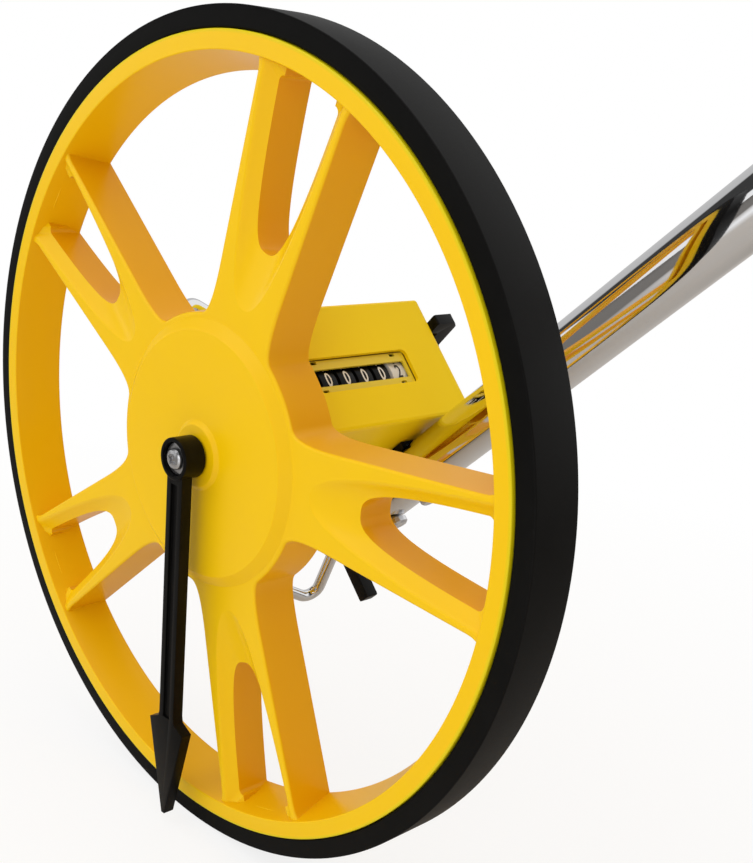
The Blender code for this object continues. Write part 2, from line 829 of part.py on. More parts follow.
# Pointer: a weighted arm that hangs straight down and marks the starting point on the floor.
def build_pointer():
    boss_back = -hub_boss_proud - 2 * seat_gap
    boss = turned("pointer_arm", rod_profile(pointer_boss_radius, -pointer_boss_front, boss_back),
                  black_plastic, wheel_centre, steps=round_steps)
    half = pointer_arm_width / 2
    head = pointer_head_half_width
    outline = [
        (half, 0.0), (-half, 0.0),
        (-half, -pointer_shoulder_drop + pointer_shoulder_lift),
        (-head, -pointer_shoulder_drop - pointer_neck_drop),
        (-pointer_tip_half_width, -pointer_tip_drop), (pointer_tip_half_width, -pointer_tip_drop),
        (head, -pointer_shoulder_drop - pointer_neck_drop),
        (half, -pointer_shoulder_drop + pointer_shoulder_lift),
    ]
    back = pointer_arm_thickness - pointer_arm_front
    arm = flat_piece("pointer_blade", [list(reversed(outline))], -pointer_arm_front, back, None,
                     wheel_centre, collection=cutters)
    bevel_edges(arm, pointer_edge_round, 2)
    join(boss, arm)
    groove = pointer_groove_half_width
    groove_top = -pointer_boss_radius - pointer_groove_half_width
    groove_foot = -pointer_shoulder_drop + pointer_shoulder_lift
    front_groove = block("pointer_groove", (-groove, -pointer_arm_front - cut_overrun, groove_foot),
                         (groove, pointer_groove_depth - pointer_arm_front, groove_top), None, wheel_centre,
                         collection=cutters)
    recess_floor = pointer_recess_depth - pointer_boss_front
    recess = turned("pointer_recess", rod_profile(pointer_recess_radius, -pointer_boss_front - cut_overrun,
                                                  recess_floor), None, wheel_centre, collection=cutters)
    bore = turned("pointer_bore", rod_profile(axle_nose_radius + seat_gap, -pointer_boss_front - cut_overrun,
                                              boss_back + cut_overrun), None, wheel_centre,
                  steps=small_steps, collection=cutters)
    cut(boss, front_groove, recess, bore)
    smooth(boss)
    washer_back = -axle_nose_tip - seat_gap
    washer_front = washer_back - pointer_washer_thickness
    turned("pointer_washer", ring_profile(pointer_washer_radius, pointer_screw_shank_radius + seat_gap,
                                          washer_front, washer_back), zinc, wheel_centre)
    cross_head_screw("pointer_screw", wheel_centre, (0.0, washer_front - seat_gap, 0.0),
                     pointer_screw_head_radius, pointer_screw_head_height, pointer_screw_shank_radius,
                     pointer_screw_length, 1.0)


# A cross-recess screw on the Y axis: the head points to -Y when facing is 1, to +Y when it is -1.
def cross_head_screw(name, parent, location, head_radius, head_height, shank_radius, length, facing):
    profile = [(0.0, -head_height)]
    profile += [(head_radius * across, -head_height * up) for across, up in head_crown_shares]
    profile += [(head_radius, 0.0), (shank_radius, 0.0), (shank_radius, length), (0.0, length)]
    screw = turned(name, profile, zinc, parent, steps=small_steps)
    arm = head_radius * screw_recess_share
    half = screw_recess_width / 2
    recess = -head_height * recess_depth_share
    tip = half * recess_tip_share
    outline = [(arm, tip), (half, half), (tip, arm), (-tip, arm), (-half, half), (-arm, tip),
               (-arm, -tip), (-half, -half), (-tip, -arm), (tip, -arm), (half, -half), (arm, -tip)]
    cross = flat_piece(name + "_recess", [outline], -head_height - cut_overrun, recess, None, parent,
                       collection=cutters)
    cut(screw, cross)
    smooth(screw)
    screw.location = location
    if facing < 0:
        screw.rotation_euler = (math.pi / 2, 0.0, 0.0)
    return screw


# Counter housing: a sheet box open at the back, closed by a screwed cover.
def build_housing():
    low = (-housing_back + cover_wall + seat_gap, housing_near, -housing_bottom)
    high = (housing_front, housing_far, housing_top)
    box = block("counter_housing", low, high, yellow_paint, handle_line, round_by=housing_round)
    wall = housing_wall
    hollow = block("hollow_cutter", (-housing_back - cut_overrun, housing_near + wall, wall - housing_bottom),
                   (housing_front - wall, housing_far - wall, housing_top - wall), None, handle_line,
                   collection=cutters)
    opening = sideways_plate("opening_cutter", window_near, window_bottom, window_far, window_top,
                             window_round, housing_front - 2 * wall, housing_front + cut_overrun, None,
                             cutters)
    near = (housing_near - cut_overrun, housing_near + wall + cut_overrun)
    far = (housing_far - wall - cut_overrun, housing_far + cut_overrun)
    holes = []
    for name, radius, spans, axis in (
            ("bearing_hole", bearing_radius, (near, far), (0.0, 0.0, 0.0)),
            ("drum_shaft_hole", drum_shaft_radius, (near, far), drum_axis()),
            ("pinion_shaft_hole", pinion_shaft_radius, (near, far), pinion_axis()),
            ("idler_hole", idler_pin_radius, (far,), idler_axis()),
            ("reset_hole", reset_shaft_radius, (far,), reset_axis())):
        steps = round_steps if radius == bearing_radius else small_steps
        for start, end in spans:
            holes.append(turned(name, rod_profile(radius + seat_gap, start, end), None, handle_line, axis,
                                steps, cutters))
    for k, along in enumerate((bolt_near_along, bolt_far_along)):
        holes.append(upright_rod("bolt_hole_%d" % k, bolt_radius + seat_gap, along, tube_y,
                                 -housing_bottom - cut_overrun, wall - housing_bottom + cut_overrun, None, cutters))
    cut(box, hollow, opening, *holes)
    lugs = []
    for k, (y, height) in enumerate(cover_screw_places()):
        back = -housing_back + cover_wall + seat_gap
        side = cover_screw_inset + cover_screw_shank_radius + wall / 2
        y_low = housing_near + wall / 2 if y < (housing_near + housing_far) / 2 else housing_far - side
        y_high = y_low + side - wall / 2
        z_low = -housing_bottom + wall / 2 if height < 0.0 else housing_top - side
        z_high = z_low + side - wall / 2
        lugs.append(block("lug_%d" % k, (back, y_low, z_low), (back + cover_lug_depth, y_high, z_high),
                          None, handle_line, collection=cutters))
    join(box, *lugs)
    screw_holes = [along_rod("cover_screw_hole_%d" % k, cover_screw_shank_radius + seat_gap / 2,
                             -housing_back - cut_overrun, cover_screw_length - housing_back + seat_gap, y, height,
                             None, cutters)
                   for k, (y, height) in enumerate(cover_screw_places())]
    cut(box, *screw_holes)
    smooth(box)

    cover = block("rear_cover", (-housing_back, housing_near, -housing_bottom),
                  (cover_wall - housing_back, housing_far, housing_top), yellow_paint, handle_line,
                  round_by=cover_round)
    screw_holes = [along_rod("cover_hole_%d" % k, cover_screw_shank_radius + seat_gap,
                             -housing_back - cut_overrun, cover_wall - housing_back + cut_overrun, y, height,
                             None, cutters)
                   for k, (y, height) in enumerate(cover_screw_places())]
    cut(cover, *screw_holes)
    smooth(cover)
    for k, (y, height) in enumerate(cover_screw_places()):
        screw = cross_head_screw("cover_screw_%d" % (k + 1), handle_line,
                                 (-housing_back - seat_gap, y, height), cover_screw_radius,
                                 cover_screw_head, cover_screw_shank_radius,
                                 cover_screw_length - cover_wall, 1.0)
        screw.rotation_euler = (0.0, math.pi / 2, 0.0)


def cover_screw_places():
    inset = cover_screw_inset
    return [(y, height) for y in (housing_near + inset, housing_far - inset)
            for height in (inset - housing_bottom, housing_top - inset)]


def drum_axis():
    return (drum_axis_along, 0.0, drum_axis_height)


def pinion_axis():
    reach = drum_radius + pinion_radius + pinion_drum_gap
    height = drum_axis_height - drum_radius - pinion_drop
    drop = drum_axis_height - height
    return (drum_axis_along - math.sqrt(max(reach * reach - drop * drop, 0.0)), 0.0, height)


def gear_reach():
    return gear_module_radius + idler_radius + gear_mesh_gap


def idler_axis():
    span = math.hypot(drum_axis_along, drum_axis_height)
    rise = math.sqrt(gear_reach() ** 2 - (span / 2) ** 2)
    along_share = drum_axis_along / span
    height_share = drum_axis_height / span
    return (drum_axis_along / 2 - rise * height_share, 0.0, drum_axis_height / 2 + rise * along_share)


def reset_axis():
    return (lever_pivot_along, 0.0, lever_pivot_height)


# A plate square to the handle line, with rounded corners in its own plane.
def sideways_plate(name, y_low, z_low, y_high, z_high, radius, near, far, material,
                   collection=None):
    outline = rounded_box(y_low, z_low, y_high, z_high, radius)
    item = flat_piece(name, [outline], -far, -near, material, handle_line, collection=collection)
    item.rotation_euler = (0.0, 0.0, math.pi / 2)
    return item


def along_rod(name, radius, start, end, y, height, material, collection=None, steps=small_steps):
    item = turned(name, rod_profile(radius, start, end), material, handle_line, (0.0, y, height), steps,
                  collection)
    item.rotation_euler = (0.0, math.pi / 2, 0.0)
    return item


def upright_rod(name, radius, along, y, start, end, material, collection=None, steps=small_steps):
    item = turned(name, rod_profile(radius, start, end), material, handle_line, (along, y, 0.0), steps,
                  collection)
    item.rotation_euler = (0.0, 0.0, 0.0)
    return item


def build_bearings():
    bore = axle_radius + seat_gap
    flange_gap = seat_gap
    near_flange = housing_near - flange_gap - bearing_flange
    turned("bearing_near", [(bore, near_flange), (bearing_flange_radius, near_flange),
                            (bearing_flange_radius, near_flange + bearing_flange),
                            (bearing_radius, near_flange + bearing_flange),
                            (bearing_radius, near_flange + bearing_length), (bore, near_flange + bearing_length)],
           bronze, handle_line)
    far_flange = housing_far + flange_gap + bearing_flange
    turned("bearing_far", [(bore, far_flange - bearing_length), (bearing_radius, far_flange - bearing_length),
                           (bearing_radius, far_flange - bearing_flange),
                           (bearing_flange_radius, far_flange - bearing_flange),
                           (bearing_flange_radius, far_flange), (bore, far_flange)], bronze, handle_line)
    clip_middle = far_flange + seat_gap + circlip_thickness / 2
    circlip("axle_circlip", clip_middle, axle_radius - circlip_groove_depth + seat_gap, circlip_radius,
            circlip_thickness, wheel_centre)


def build_counter_plate():
    near = housing_front - housing_wall - seat_gap - plate_thickness
    far = near + plate_thickness
    low_y = housing_near + housing_wall + seat_gap
    plate = sideways_plate("counter_plate", low_y, window_bottom - plate_margin, window_far + plate_margin,
                           window_top + plate_margin, window_round, near, far, yellow_paint)
    slot = sideways_plate("slot_cutter", slot_near, slot_bottom, slot_far, slot_top, clip_edge / 2,
                          near - cut_overrun, far + cut_overrun, None, cutters)
    clips = []
    places = [(y, height) for y in (window_near + clip_inset, window_far - clip_far_inset)
              for height in (window_bottom + clip_edge, window_top - clip_edge)]
    for k, (y, height) in enumerate(places):
        clips.append(sideways_plate("clip_cutter_%d" % k, y - clip_half_width, height - clip_half_height,
                                    y + clip_half_width, height + clip_half_height, clip_half_height / 2,
                                    near - cut_overrun, far + cut_overrun, None, cutters))
    cut(plate, slot, *clips)


def drum_places():
    return [drum_first_y + k * drum_pitch for k in range(drum_count)]


def build_drums():
    half = drum_width / 2
    for k, y in enumerate(drum_places()):
        profile = ring_profile(drum_radius, drum_bore_radius, -half, half)
        last = k == drum_count - 1
        material = white_plastic if last else black_plastic
        smooth(turned("digit_drum_%d" % (k + 1), profile, material, handle_line,
                      (drum_axis_along, y, drum_axis_height), round_steps))
    headed_shaft("drum_shaft", drum_shaft_radius, drum_axis())
    headed_shaft("pinion_shaft", pinion_shaft_radius, pinion_axis())
    along, _, height = pinion_axis()
    for k, (y, after) in enumerate(zip(drum_places(), drum_places()[1:])):
        middle = (y + after) / 2
        outline = gear_outline(0.0, 0.0, pinion_radius, pinion_tooth_depth, pinion_tooth_count)
        hole = circle(0.0, 0.0, pinion_shaft_radius + seat_gap)
        flat_piece("transfer_pinion_%d" % (k + 1), [outline, hole], -pinion_length / 2, pinion_length / 2,
                   grey_plastic, handle_line, (along, middle, height))


# A shaft riveted over at both end plates of the housing.
def headed_shaft(name, radius, location):
    head = radius * rivet_head_share
    head_height = radius / 2
    start = housing_near - seat_gap
    end = housing_far + seat_gap
    profile = [(0.0, start - head_height), (head, start - head_height), (head, start), (radius, start),
               (radius, end), (head, end), (head, end + head_height), (0.0, end + head_height)]
    return turned(name, profile, steel, handle_line, location, small_steps)


# Phase that puts a gap of the driven gear in front of the driving gear's tooth.
def meshing_phase(driver_phase, driver_teeth, driven_teeth, direction):
    beyond = (direction - driver_phase) * driver_teeth / full_turn
    beyond -= math.floor(beyond)
    return direction + half_turn - (half_turn - beyond * full_turn) / driven_teeth


def build_gears():
    near = gear_y - gear_width / 2
    far = gear_y + gear_width / 2
    idler_along, _, idler_height = idler_axis()
    to_idler = math.degrees(math.atan2(idler_height, idler_along))
    to_counter = math.degrees(math.atan2(drum_axis_height - idler_height, drum_axis_along - idler_along))
    idler_phase = meshing_phase(to_idler, drive_gear_teeth, idler_teeth, to_idler)
    counter_phase = meshing_phase(idler_phase, idler_teeth, drive_gear_teeth, to_counter)
    drive = flat_piece("drive_gear", [gear_outline(0.0, 0.0, gear_module_radius, gear_tooth_depth,
                                                   drive_gear_teeth, to_idler),
                                      circle(0.0, 0.0, axle_radius + seat_gap)], near, far, white_plastic,
                       handle_line)
    sleeve = turned("drive_sleeve", ring_profile(axle_radius + gear_tooth_depth, axle_radius + seat_gap,
                                                 far - seat_gap, far + gear_width), None, handle_line,
                    collection=cutters, steps=small_steps)
    join(drive, sleeve)
    idler = flat_piece("idler_gear", [gear_outline(0.0, 0.0, idler_radius, gear_tooth_depth, idler_teeth,
                                                   idler_phase),
                                      circle(0.0, 0.0, idler_pin_radius + seat_gap)], near, far, grey_plastic,
                       handle_line, idler_axis())
    sleeve = turned("idler_sleeve", ring_profile(idler_pin_head_radius, idler_pin_radius + seat_gap,
                                                 far - seat_gap, housing_far - housing_wall - seat_gap), None,
                    handle_line, idler_axis(), small_steps, cutters)
    join(idler, sleeve)
    head_start = near - seat_gap - idler_pin_head
    end = housing_far + seat_gap
    turned("idler_pin", [(0.0, head_start), (idler_pin_head_radius, head_start),
                         (idler_pin_head_radius, head_start + idler_pin_head),
                         (idler_pin_radius, head_start + idler_pin_head), (idler_pin_radius, end),
                         (idler_pin_head_radius, end), (idler_pin_head_radius, end + idler_pin_head),
                         (0.0, end + idler_pin_head)], steel, handle_line, idler_axis(), small_steps)
    counter = flat_piece("counter_gear", [gear_outline(0.0, 0.0, gear_module_radius, gear_tooth_depth,
                                                       drive_gear_teeth, counter_phase),
                                          circle(0.0, 0.0, drum_bore_radius)], near, far, white_plastic,
                         handle_line, drum_axis())
    last_drum = drum_places()[-1] + drum_width / 2
    sleeve = turned("counter_sleeve", ring_profile(drum_collar_radius / 2, drum_bore_radius,
                                                   last_drum + seat_gap, near + seat_gap), None, handle_line,
                    drum_axis(), small_steps, cutters)
    join(counter, sleeve)


# Reset lever on the far side: pressing its hooked tip turns the shaft that zeroes the drums.
def build_reset():
    along = lever_pivot_along
    height = lever_pivot_height
    half = lever_thickness / 2
    arm = [
        (along, height + lever_pivot_radius * lever_boss_share),
        (along, height - lever_pivot_radius * lever_boss_share),
        (lever_knee_along, lever_knee_height - half),
        (lever_tip_along - lever_hook_depth / 2, lever_tip_height - half),
        (lever_tip_along, lever_tip_height - half),
        (lever_tip_along, lever_tip_height + half),
        (lever_tip_along - lever_hook_depth, lever_tip_height + half),
        (lever_knee_along, lever_knee_height + half * lever_knee_share),
    ]
    lever = turned("reset_lever", rod_profile(lever_pivot_radius, lever_near, lever_far), black_plastic,
                   handle_line, (along, 0.0, height), round_steps)
    blade = flat_piece("lever_blade", [[(x - along, z - height) for x, z in arm]], lever_near, lever_far,
                       None, handle_line, (along, 0.0, height), cutters)
    hook = block("lever_hook",
                 (lever_tip_along - lever_hook_depth, lever_hook_near, lever_tip_height - half),
                 (lever_tip_along, lever_far - half / 2, lever_tip_height + half), None, handle_line,
                 round_by=lever_hook_round, collection=cutters)
    join(lever, blade, hook)
    bore = turned("lever_bore", rod_profile(reset_shaft_radius + seat_gap, lever_near - cut_overrun,
                                            lever_far + cut_overrun), None, handle_line, reset_axis(),
                  small_steps, cutters)
    cut(lever, bore)
    smooth(lever)
    inner_end = reset_shaft_inner
    collar = inner_end + reset_cap_height
    turned("reset_shaft", [(0.0, inner_end), (reset_cap_radius, inner_end), (reset_cap_radius, collar),
                           (reset_shaft_radius, collar), (reset_shaft_radius, lever_far),
                           (reset_screw_radius + seat_gap, lever_far),
                           (reset_screw_radius + seat_gap, lever_far - reset_screw_length),
                           (0.0, lever_far - reset_screw_length)], steel, handle_line, reset_axis(),
           small_steps)
    cross_head_screw("reset_screw", handle_line, (along, lever_far + seat_gap, height), reset_cap_radius,
                     reset_cap_height, reset_screw_radius, reset_screw_length - seat_gap, -1.0)
    spring = []
    start = housing_far + seat_gap + spring_wire_radius
    end = lever_near - seat_gap - spring_wire_radius
    steps = spring_steps * spring_turns
    for k in range(steps + 1):
        angle = math.tau * spring_turns * k / steps
        spring.append((spring_coil_radius * math.cos(angle), start + (end - start) * k / steps,
                       spring_coil_radius * math.sin(angle)))
    gap = (end - start) / spring_turns - 2 * spring_wire_radius
    print("reset spring gap between coils, mm:", round(gap / mm, 2))
    smooth(wire("reset_spring", spring, spring_wire_radius, spring_steel, handle_line, reset_axis(), 1),
           wire_angle)


def along_tube(name, outer, inner, start, end, material, collection=None):
    item = turned(name, ring_profile(outer, inner, start, end), material, handle_line,
                  (0.0, tube_y, -tube_offset), round_steps, collection)
    item.rotation_euler = (0.0, math.pi / 2, 0.0)
    return item


def build_lower_tube():
    tube = along_tube("lower_tube", tube_radius, tube_radius - tube_wall, -tube_lower_end,
                      fold_along - fold_gap / 2, chrome)
    holes = [upright_rod("tube_hole_%d" % k, bolt_radius + seat_gap, along, tube_y,
                         -tube_offset - 2 * tube_radius, -tube_offset + 2 * tube_radius, None, cutters)
             for k, along in enumerate((bolt_near_along, bolt_far_along))]
    cut(tube, *holes)
    smooth(tube)


def build_tube_fixing():
    for k, along in enumerate((bolt_near_along, bolt_far_along)):
        top = -housing_bottom - seat_gap
        low = (along - saddle_length / 2, tube_y - saddle_width / 2, tube_radius / 2 - tube_offset)
        high = (along + saddle_length / 2, tube_y + saddle_width / 2, top)
        saddle = block("tube_saddle_%d" % (k + 1), low, high, black_plastic, handle_line)
        seat = along_tube("saddle_cutter", tube_radius + seat_gap, tube_radius / 2, along - saddle_length,
                          along + saddle_length, None, cutters)
        hole = upright_rod("saddle_hole", bolt_radius + seat_gap, along, tube_y, -tube_offset,
                           top + cut_overrun, None, cutters)
        cut(saddle, seat, hole)
        smooth(saddle)
        head_top = -tube_offset - tube_radius - seat_gap
        bolt = [(0.0, head_top - bolt_head_height),
                (bolt_head_radius * bolt_crown_share, head_top - bolt_head_height),
                (bolt_head_radius, head_top - bolt_head_height * bolt_side_share),
                (bolt_head_radius, head_top),
                (bolt_radius, head_top), (bolt_radius, -bolt_end_height), (0.0, -bolt_end_height)]
        item = turned("tube_bolt_%d" % (k + 1), bolt, zinc, handle_line, (along, tube_y, 0.0), small_steps)
        item.rotation_euler = (0.0, 0.0, 0.0)
        smooth(item)
        nut_start = housing_wall - housing_bottom + seat_gap
        nut_bore = (bolt_radius + seat_gap) / math.cos(math.pi / nut_sides)
        nut = turned("tube_nut_%d" % (k + 1), ring_profile(bolt_nut_radius, nut_bore, nut_start,
                                                           nut_start + bolt_nut_height), zinc, handle_line,
                     (along, tube_y, 0.0), nut_sides)
        nut.rotation_euler = (0.0, 0.0, 0.0)


# Plastic block that closes the tube's lower end and carries the stand's hinge.
def build_end_block():
    shoulder = -tube_lower_end - seat_gap
    plug_radius = tube_radius - tube_wall - seat_gap
    plug_end = block_plug_length - tube_lower_end
    body = turned("tube_end_block", [(0.0, -block_end), (tube_radius, -block_end), (tube_radius, shoulder),
                                     (plug_radius, shoulder), (plug_radius, plug_end), (0.0, plug_end)],
                  black_plastic, handle_line, (0.0, tube_y, -tube_offset), round_steps)
    body.rotation_euler = (0.0, math.pi / 2, 0.0)
    flat = block("block_flat", (-block_end - cut_overrun, block_flat_y, -tube_offset - 2 * tube_radius),
                 (-tube_lower_end - 2 * seat_gap, tube_y + 2 * tube_radius, 2 * tube_radius - tube_offset),
                 None, handle_line, collection=cutters)
    tab = block("block_tab", (-tab_along - tab_width / 2, tab_near, -tab_tip),
                (-tab_along + tab_width / 2, tab_near + tab_thickness, stand_wire_radius - tube_offset),
                None, handle_line, round_by=tab_round, collection=cutters)
    hole = turned("block_hole", rod_profile(stand_wire_radius + seat_gap, tube_y - 2 * tube_radius,
                                            tube_y + 2 * tube_radius), None, handle_line,
                  (-stand_pivot_along, 0.0, -stand_pivot_height), small_steps, cutters)
    cut(body, flat)
    join(body, tab)
    cut(body, hole)
    smooth(body)


def build_kickstand():
    pivot = Vector((-stand_pivot_along, 0.0, -stand_pivot_height))
    corners = [
        (-stand_pivot_along, stand_pin_end, -stand_pivot_height),
        (-stand_pivot_along, stand_leg_y, -stand_pivot_height),
        (-stand_low_along, stand_leg_y, -stand_low_height),
        (-stand_wheel_along, stand_wheel_y, -stand_wheel_height),
        (-stand_high_along, stand_wheel_y, stand_high_height),
        (-stand_foot_along, stand_foot_y, stand_foot_height),
    ]
    places = [Vector(corner) - pivot for corner in corners]
    first = rounded_path(places[:3], stand_pin_bend_radius)
    rest = rounded_path(places[1:], stand_bend_radius)
    path = first[:-1] + rest[1:]
    stand = wire("kickstand", path, stand_wire_radius, chrome, handle_line, pivot, stand_resolution)
    smooth(stand, wire_angle)
    clip_y = tube_y - tube_radius - seat_gap - stand_clip_thickness / 2
    ring = ring_profile(stand_clip_radius, stand_wire_radius + seat_gap, clip_y - stand_clip_thickness / 2,
                        clip_y + stand_clip_thickness / 2)
    smooth(turned("kickstand_clip", ring, spring_steel, handle_line, pivot, small_steps))


def fold_lug(name, side, y_near, y_far):
    pin_height = -tube_offset - fold_pin_drop
    cuff_bottom = -tube_offset - tube_radius - seat_gap - fold_cuff_wall / 2
    lug_top = -tube_offset - tube_radius - seat_gap - fold_cuff_wall
    edge = fold_along - side * (fold_gap / 2)
    web_end = edge - side * fold_web_length
    disc = circle(fold_along, pin_height, fold_lug_radius)
    web = [(web_end, cuff_bottom), (web_end, lug_top),
           (fold_along - side * fold_lug_radius * lug_waist_share,
            pin_height - fold_lug_radius * lug_root_share),
           (fold_along - side * seat_gap, pin_height), (edge, lug_top), (edge, cuff_bottom)]
    body = flat_piece(name, [disc], y_near, y_far, None, handle_line, collection=cutters)
    arm = flat_piece(name + "_web", [web], y_near, y_far, None, handle_line, collection=cutters)
    join(body, arm)
    return body


def fold_cuff(name, side, start, end, lug_spans):
    outer = tube_radius + seat_gap + fold_cuff_wall
    cuff = along_tube(name, outer, tube_radius + seat_gap, start, end, black_plastic)
    lugs = [fold_lug("%s_lug_%d" % (name, k), side, near, far) for k, (near, far) in enumerate(lug_spans)]
    join(cuff, *lugs)
    bore = turned("cuff_bore", rod_profile(tube_radius + seat_gap, start - cut_overrun, end + cut_overrun), None,
                  handle_line, (0.0, tube_y, -tube_offset), round_steps, cutters)
    bore.rotation_euler = (0.0, math.pi / 2, 0.0)
    pin_hole = turned("pin_hole", rod_profile(fold_pin_radius + seat_gap, tube_y - 2 * tube_radius,
                                              tube_y + 2 * tube_radius), None, handle_line,
                      (fold_along, 0.0, -tube_offset - fold_pin_drop), small_steps, cutters)
    cut(cuff, bore, pin_hole)
    smooth(cuff)
    return cuff


def build_fold():
    half = fold_lug_width / 2
    fold_cuff("lower_fold_cuff", 1.0, fold_along - fold_cuff_length, fold_along - fold_gap / 2,
              [(tube_y - half, tube_y + half)])
    side_start = half + fold_lug_gap
    side_end = side_start + fold_side_lug_width
    fold_cuff("upper_fold_cuff", -1.0, fold_along + fold_gap / 2, fold_along + fold_cuff_length,
              [(tube_y - side_end, tube_y - side_start), (tube_y + side_start, tube_y + side_end)])
    near = tube_y - side_end - seat_gap
    far = tube_y + side_end + seat_gap
    knob_end = far + knob_length
    pin_place = (fold_along, 0.0, -tube_offset - fold_pin_drop)
    turned("fold_pin", [(0.0, near - fold_pin_head), (fold_pin_head_radius, near - fold_pin_head),
                        (fold_pin_head_radius, near), (fold_pin_radius, near),
                        (fold_pin_radius, knob_end - fold_pin_head), (0.0, knob_end - fold_pin_head)],
           zinc, handle_line, pin_place, small_steps)
    outline = []
    steps = arc_points * knob_lobe_count
    for k in range(steps):
        angle = math.tau * k / steps
        radius = knob_radius - knob_lobe_depth * (1.0 + math.cos(angle * knob_lobe_count)) / 2
        outline.append((radius * math.cos(angle), radius * math.sin(angle)))
    knob = flat_piece("fold_knob", [outline], far, knob_end, black_plastic, handle_line, pin_place)
    bevel_edges(knob, knob_lobe_depth / 2)
    bore = turned("knob_bore", rod_profile(fold_pin_radius + seat_gap, far - cut_overrun,
                                           knob_end - fold_pin_head + seat_gap), None, handle_line, pin_place,
                  small_steps, cutters)
    cut(knob, bore)
    smooth(knob)


def build_upper_handle():
    tube_end = grip_top - grip_end_wall - seat_gap
    smooth(along_tube("upper_tube", tube_radius, tube_radius - tube_wall, fold_along + fold_gap / 2,
                      tube_end, chrome))
    start = grip_top - grip_length
    profile = [(0.0, start), (grip_radius - grip_rib_height, start)]
    pitch = (grip_length - 2 * grip_end_wall) / grip_rib_count
    for k in range(grip_rib_count):
        rib = start + grip_end_wall + k * pitch
        for along_share, lift_share in grip_rib_shares:
            profile.append((grip_radius + lift_share * grip_rib_height, rib + along_share * pitch))
    profile += [(grip_radius - grip_rib_height, grip_top - grip_end_wall),
                (grip_radius * grip_end_share, grip_top), (0.0, grip_top)]
    grip = turned("grip", profile, rubber, handle_line, (0.0, tube_y, -tube_offset), grip_steps)
    grip.rotation_euler = (0.0, math.pi / 2, 0.0)
    hollow = turned("grip_bore", rod_profile(tube_radius + seat_gap, start - cut_overrun,
                                             grip_top - grip_end_wall),
                    None, handle_line, (0.0, tube_y, -tube_offset), round_steps, cutters)
    hollow.rotation_euler = (0.0, math.pi / 2, 0.0)
    cut(grip, hollow)
    smooth(grip)


clear_scene()
parts = make_collection("measuring_wheel")
cutters = make_collection("cutters")
cutters.hide_render = True
axle_height = wheel_radius * math.cos(math.pi / rim_steps)
wheel_centre = make_empty("wheel_centre", (0.0, -tyre_width / 2, axle_height), (0.0, 0.0, 0.0), None)
handle_line = make_empty("handle_line", (0.0, 0.0, 0.0), (0.0, -handle_angle, 0.0), wheel_centre)
rubber = make_material("rubber", (0.02, 0.02, 0.02), 0.55, 0.0)
yellow_plastic = make_material("yellow_plastic", (0.85, 0.55, 0.0), 0.3, 0.0)
yellow_paint = make_material("yellow_paint", (0.85, 0.57, 0.01), 0.35, 0.0)
black_plastic = make_material("black_plastic", (0.012, 0.012, 0.012), 0.35, 0.0)
grey_plastic = make_material("grey_plastic", (0.4, 0.4, 0.4), 0.5, 0.0)
white_plastic = make_material("white_plastic", (0.8, 0.8, 0.78), 0.4, 0.0)
chrome = make_material("chrome", (0.8, 0.8, 0.8), 0.08, 1.0)
zinc = make_material("zinc", (0.7, 0.7, 0.7), 0.3, 1.0)
steel = make_material("steel", (0.55, 0.55, 0.56), 0.3, 1.0)
spring_steel = make_material("spring_steel", (0.3, 0.3, 0.31), 0.35, 1.0)
bronze = make_material("bronze", (0.5, 0.3, 0.12), 0.4, 1.0)

build_tyre()
build_wheel()
build_axle()
build_bearings()
build_pointer()
build_housing()
build_counter_plate()
build_drums()
build_gears()
build_reset()
build_lower_tube()
build_tube_fixing()
build_end_block()
build_kickstand()
build_fold()
build_upper_handle()
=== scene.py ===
import json
import math

import bmesh
import bpy
from bpy.props import FloatProperty, FloatVectorProperty, IntProperty, PointerProperty
from mathutils import Matrix, Vector


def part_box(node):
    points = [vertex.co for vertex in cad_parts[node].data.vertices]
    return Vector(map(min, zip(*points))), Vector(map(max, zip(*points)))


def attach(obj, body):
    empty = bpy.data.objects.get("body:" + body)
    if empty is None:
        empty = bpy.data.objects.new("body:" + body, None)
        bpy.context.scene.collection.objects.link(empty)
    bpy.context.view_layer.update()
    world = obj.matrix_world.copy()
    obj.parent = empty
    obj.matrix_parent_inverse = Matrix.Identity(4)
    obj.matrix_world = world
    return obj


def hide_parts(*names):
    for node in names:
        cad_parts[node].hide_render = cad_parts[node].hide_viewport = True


bl_info = {
    "name": "Measuring wheel",
    "version": (1, 0, 0),
    "blender": (4, 5, 0),
    "location": "3D View > Sidebar > Measuring wheel",
    "description": "Builds the looks of a measuring wheel round its packed frame",
    "category": "Object",
}

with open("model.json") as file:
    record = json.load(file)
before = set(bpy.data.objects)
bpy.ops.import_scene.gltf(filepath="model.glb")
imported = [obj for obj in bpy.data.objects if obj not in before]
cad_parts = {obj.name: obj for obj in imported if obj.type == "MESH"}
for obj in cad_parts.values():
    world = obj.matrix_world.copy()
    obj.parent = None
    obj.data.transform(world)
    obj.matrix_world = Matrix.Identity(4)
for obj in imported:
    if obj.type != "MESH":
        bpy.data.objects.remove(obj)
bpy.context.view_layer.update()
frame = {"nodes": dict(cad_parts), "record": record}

# Sizes that the pieces share. The wheel's own frame has its origin on the axle line at the
# tyre's front face, with Y along the axle. The handle's frame is that one, leant back.
TYRE_LOW, TYRE_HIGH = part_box("tyre")
AXLE_HEIGHT = (TYRE_LOW.z + TYRE_HIGH.z) / 2
TYRE_WIDTH = TYRE_HIGH.y - TYRE_LOW.y
TYRE_RADIUS = AXLE_HEIGHT - TYRE_LOW.z
TYRE_INNER = TYRE_RADIUS - 0.0077
TONGUE_HEIGHT = 0.0026
TONGUE_INSET = (TYRE_WIDTH - 0.0084) / 2
RIM_INNER = 0.14430
SPOKE_COUNT = 5
SPOKE_PHASE = math.radians(0.4)
SPOKE_FRONT = 0.0004
SPOKE_DEPTH = 0.0184
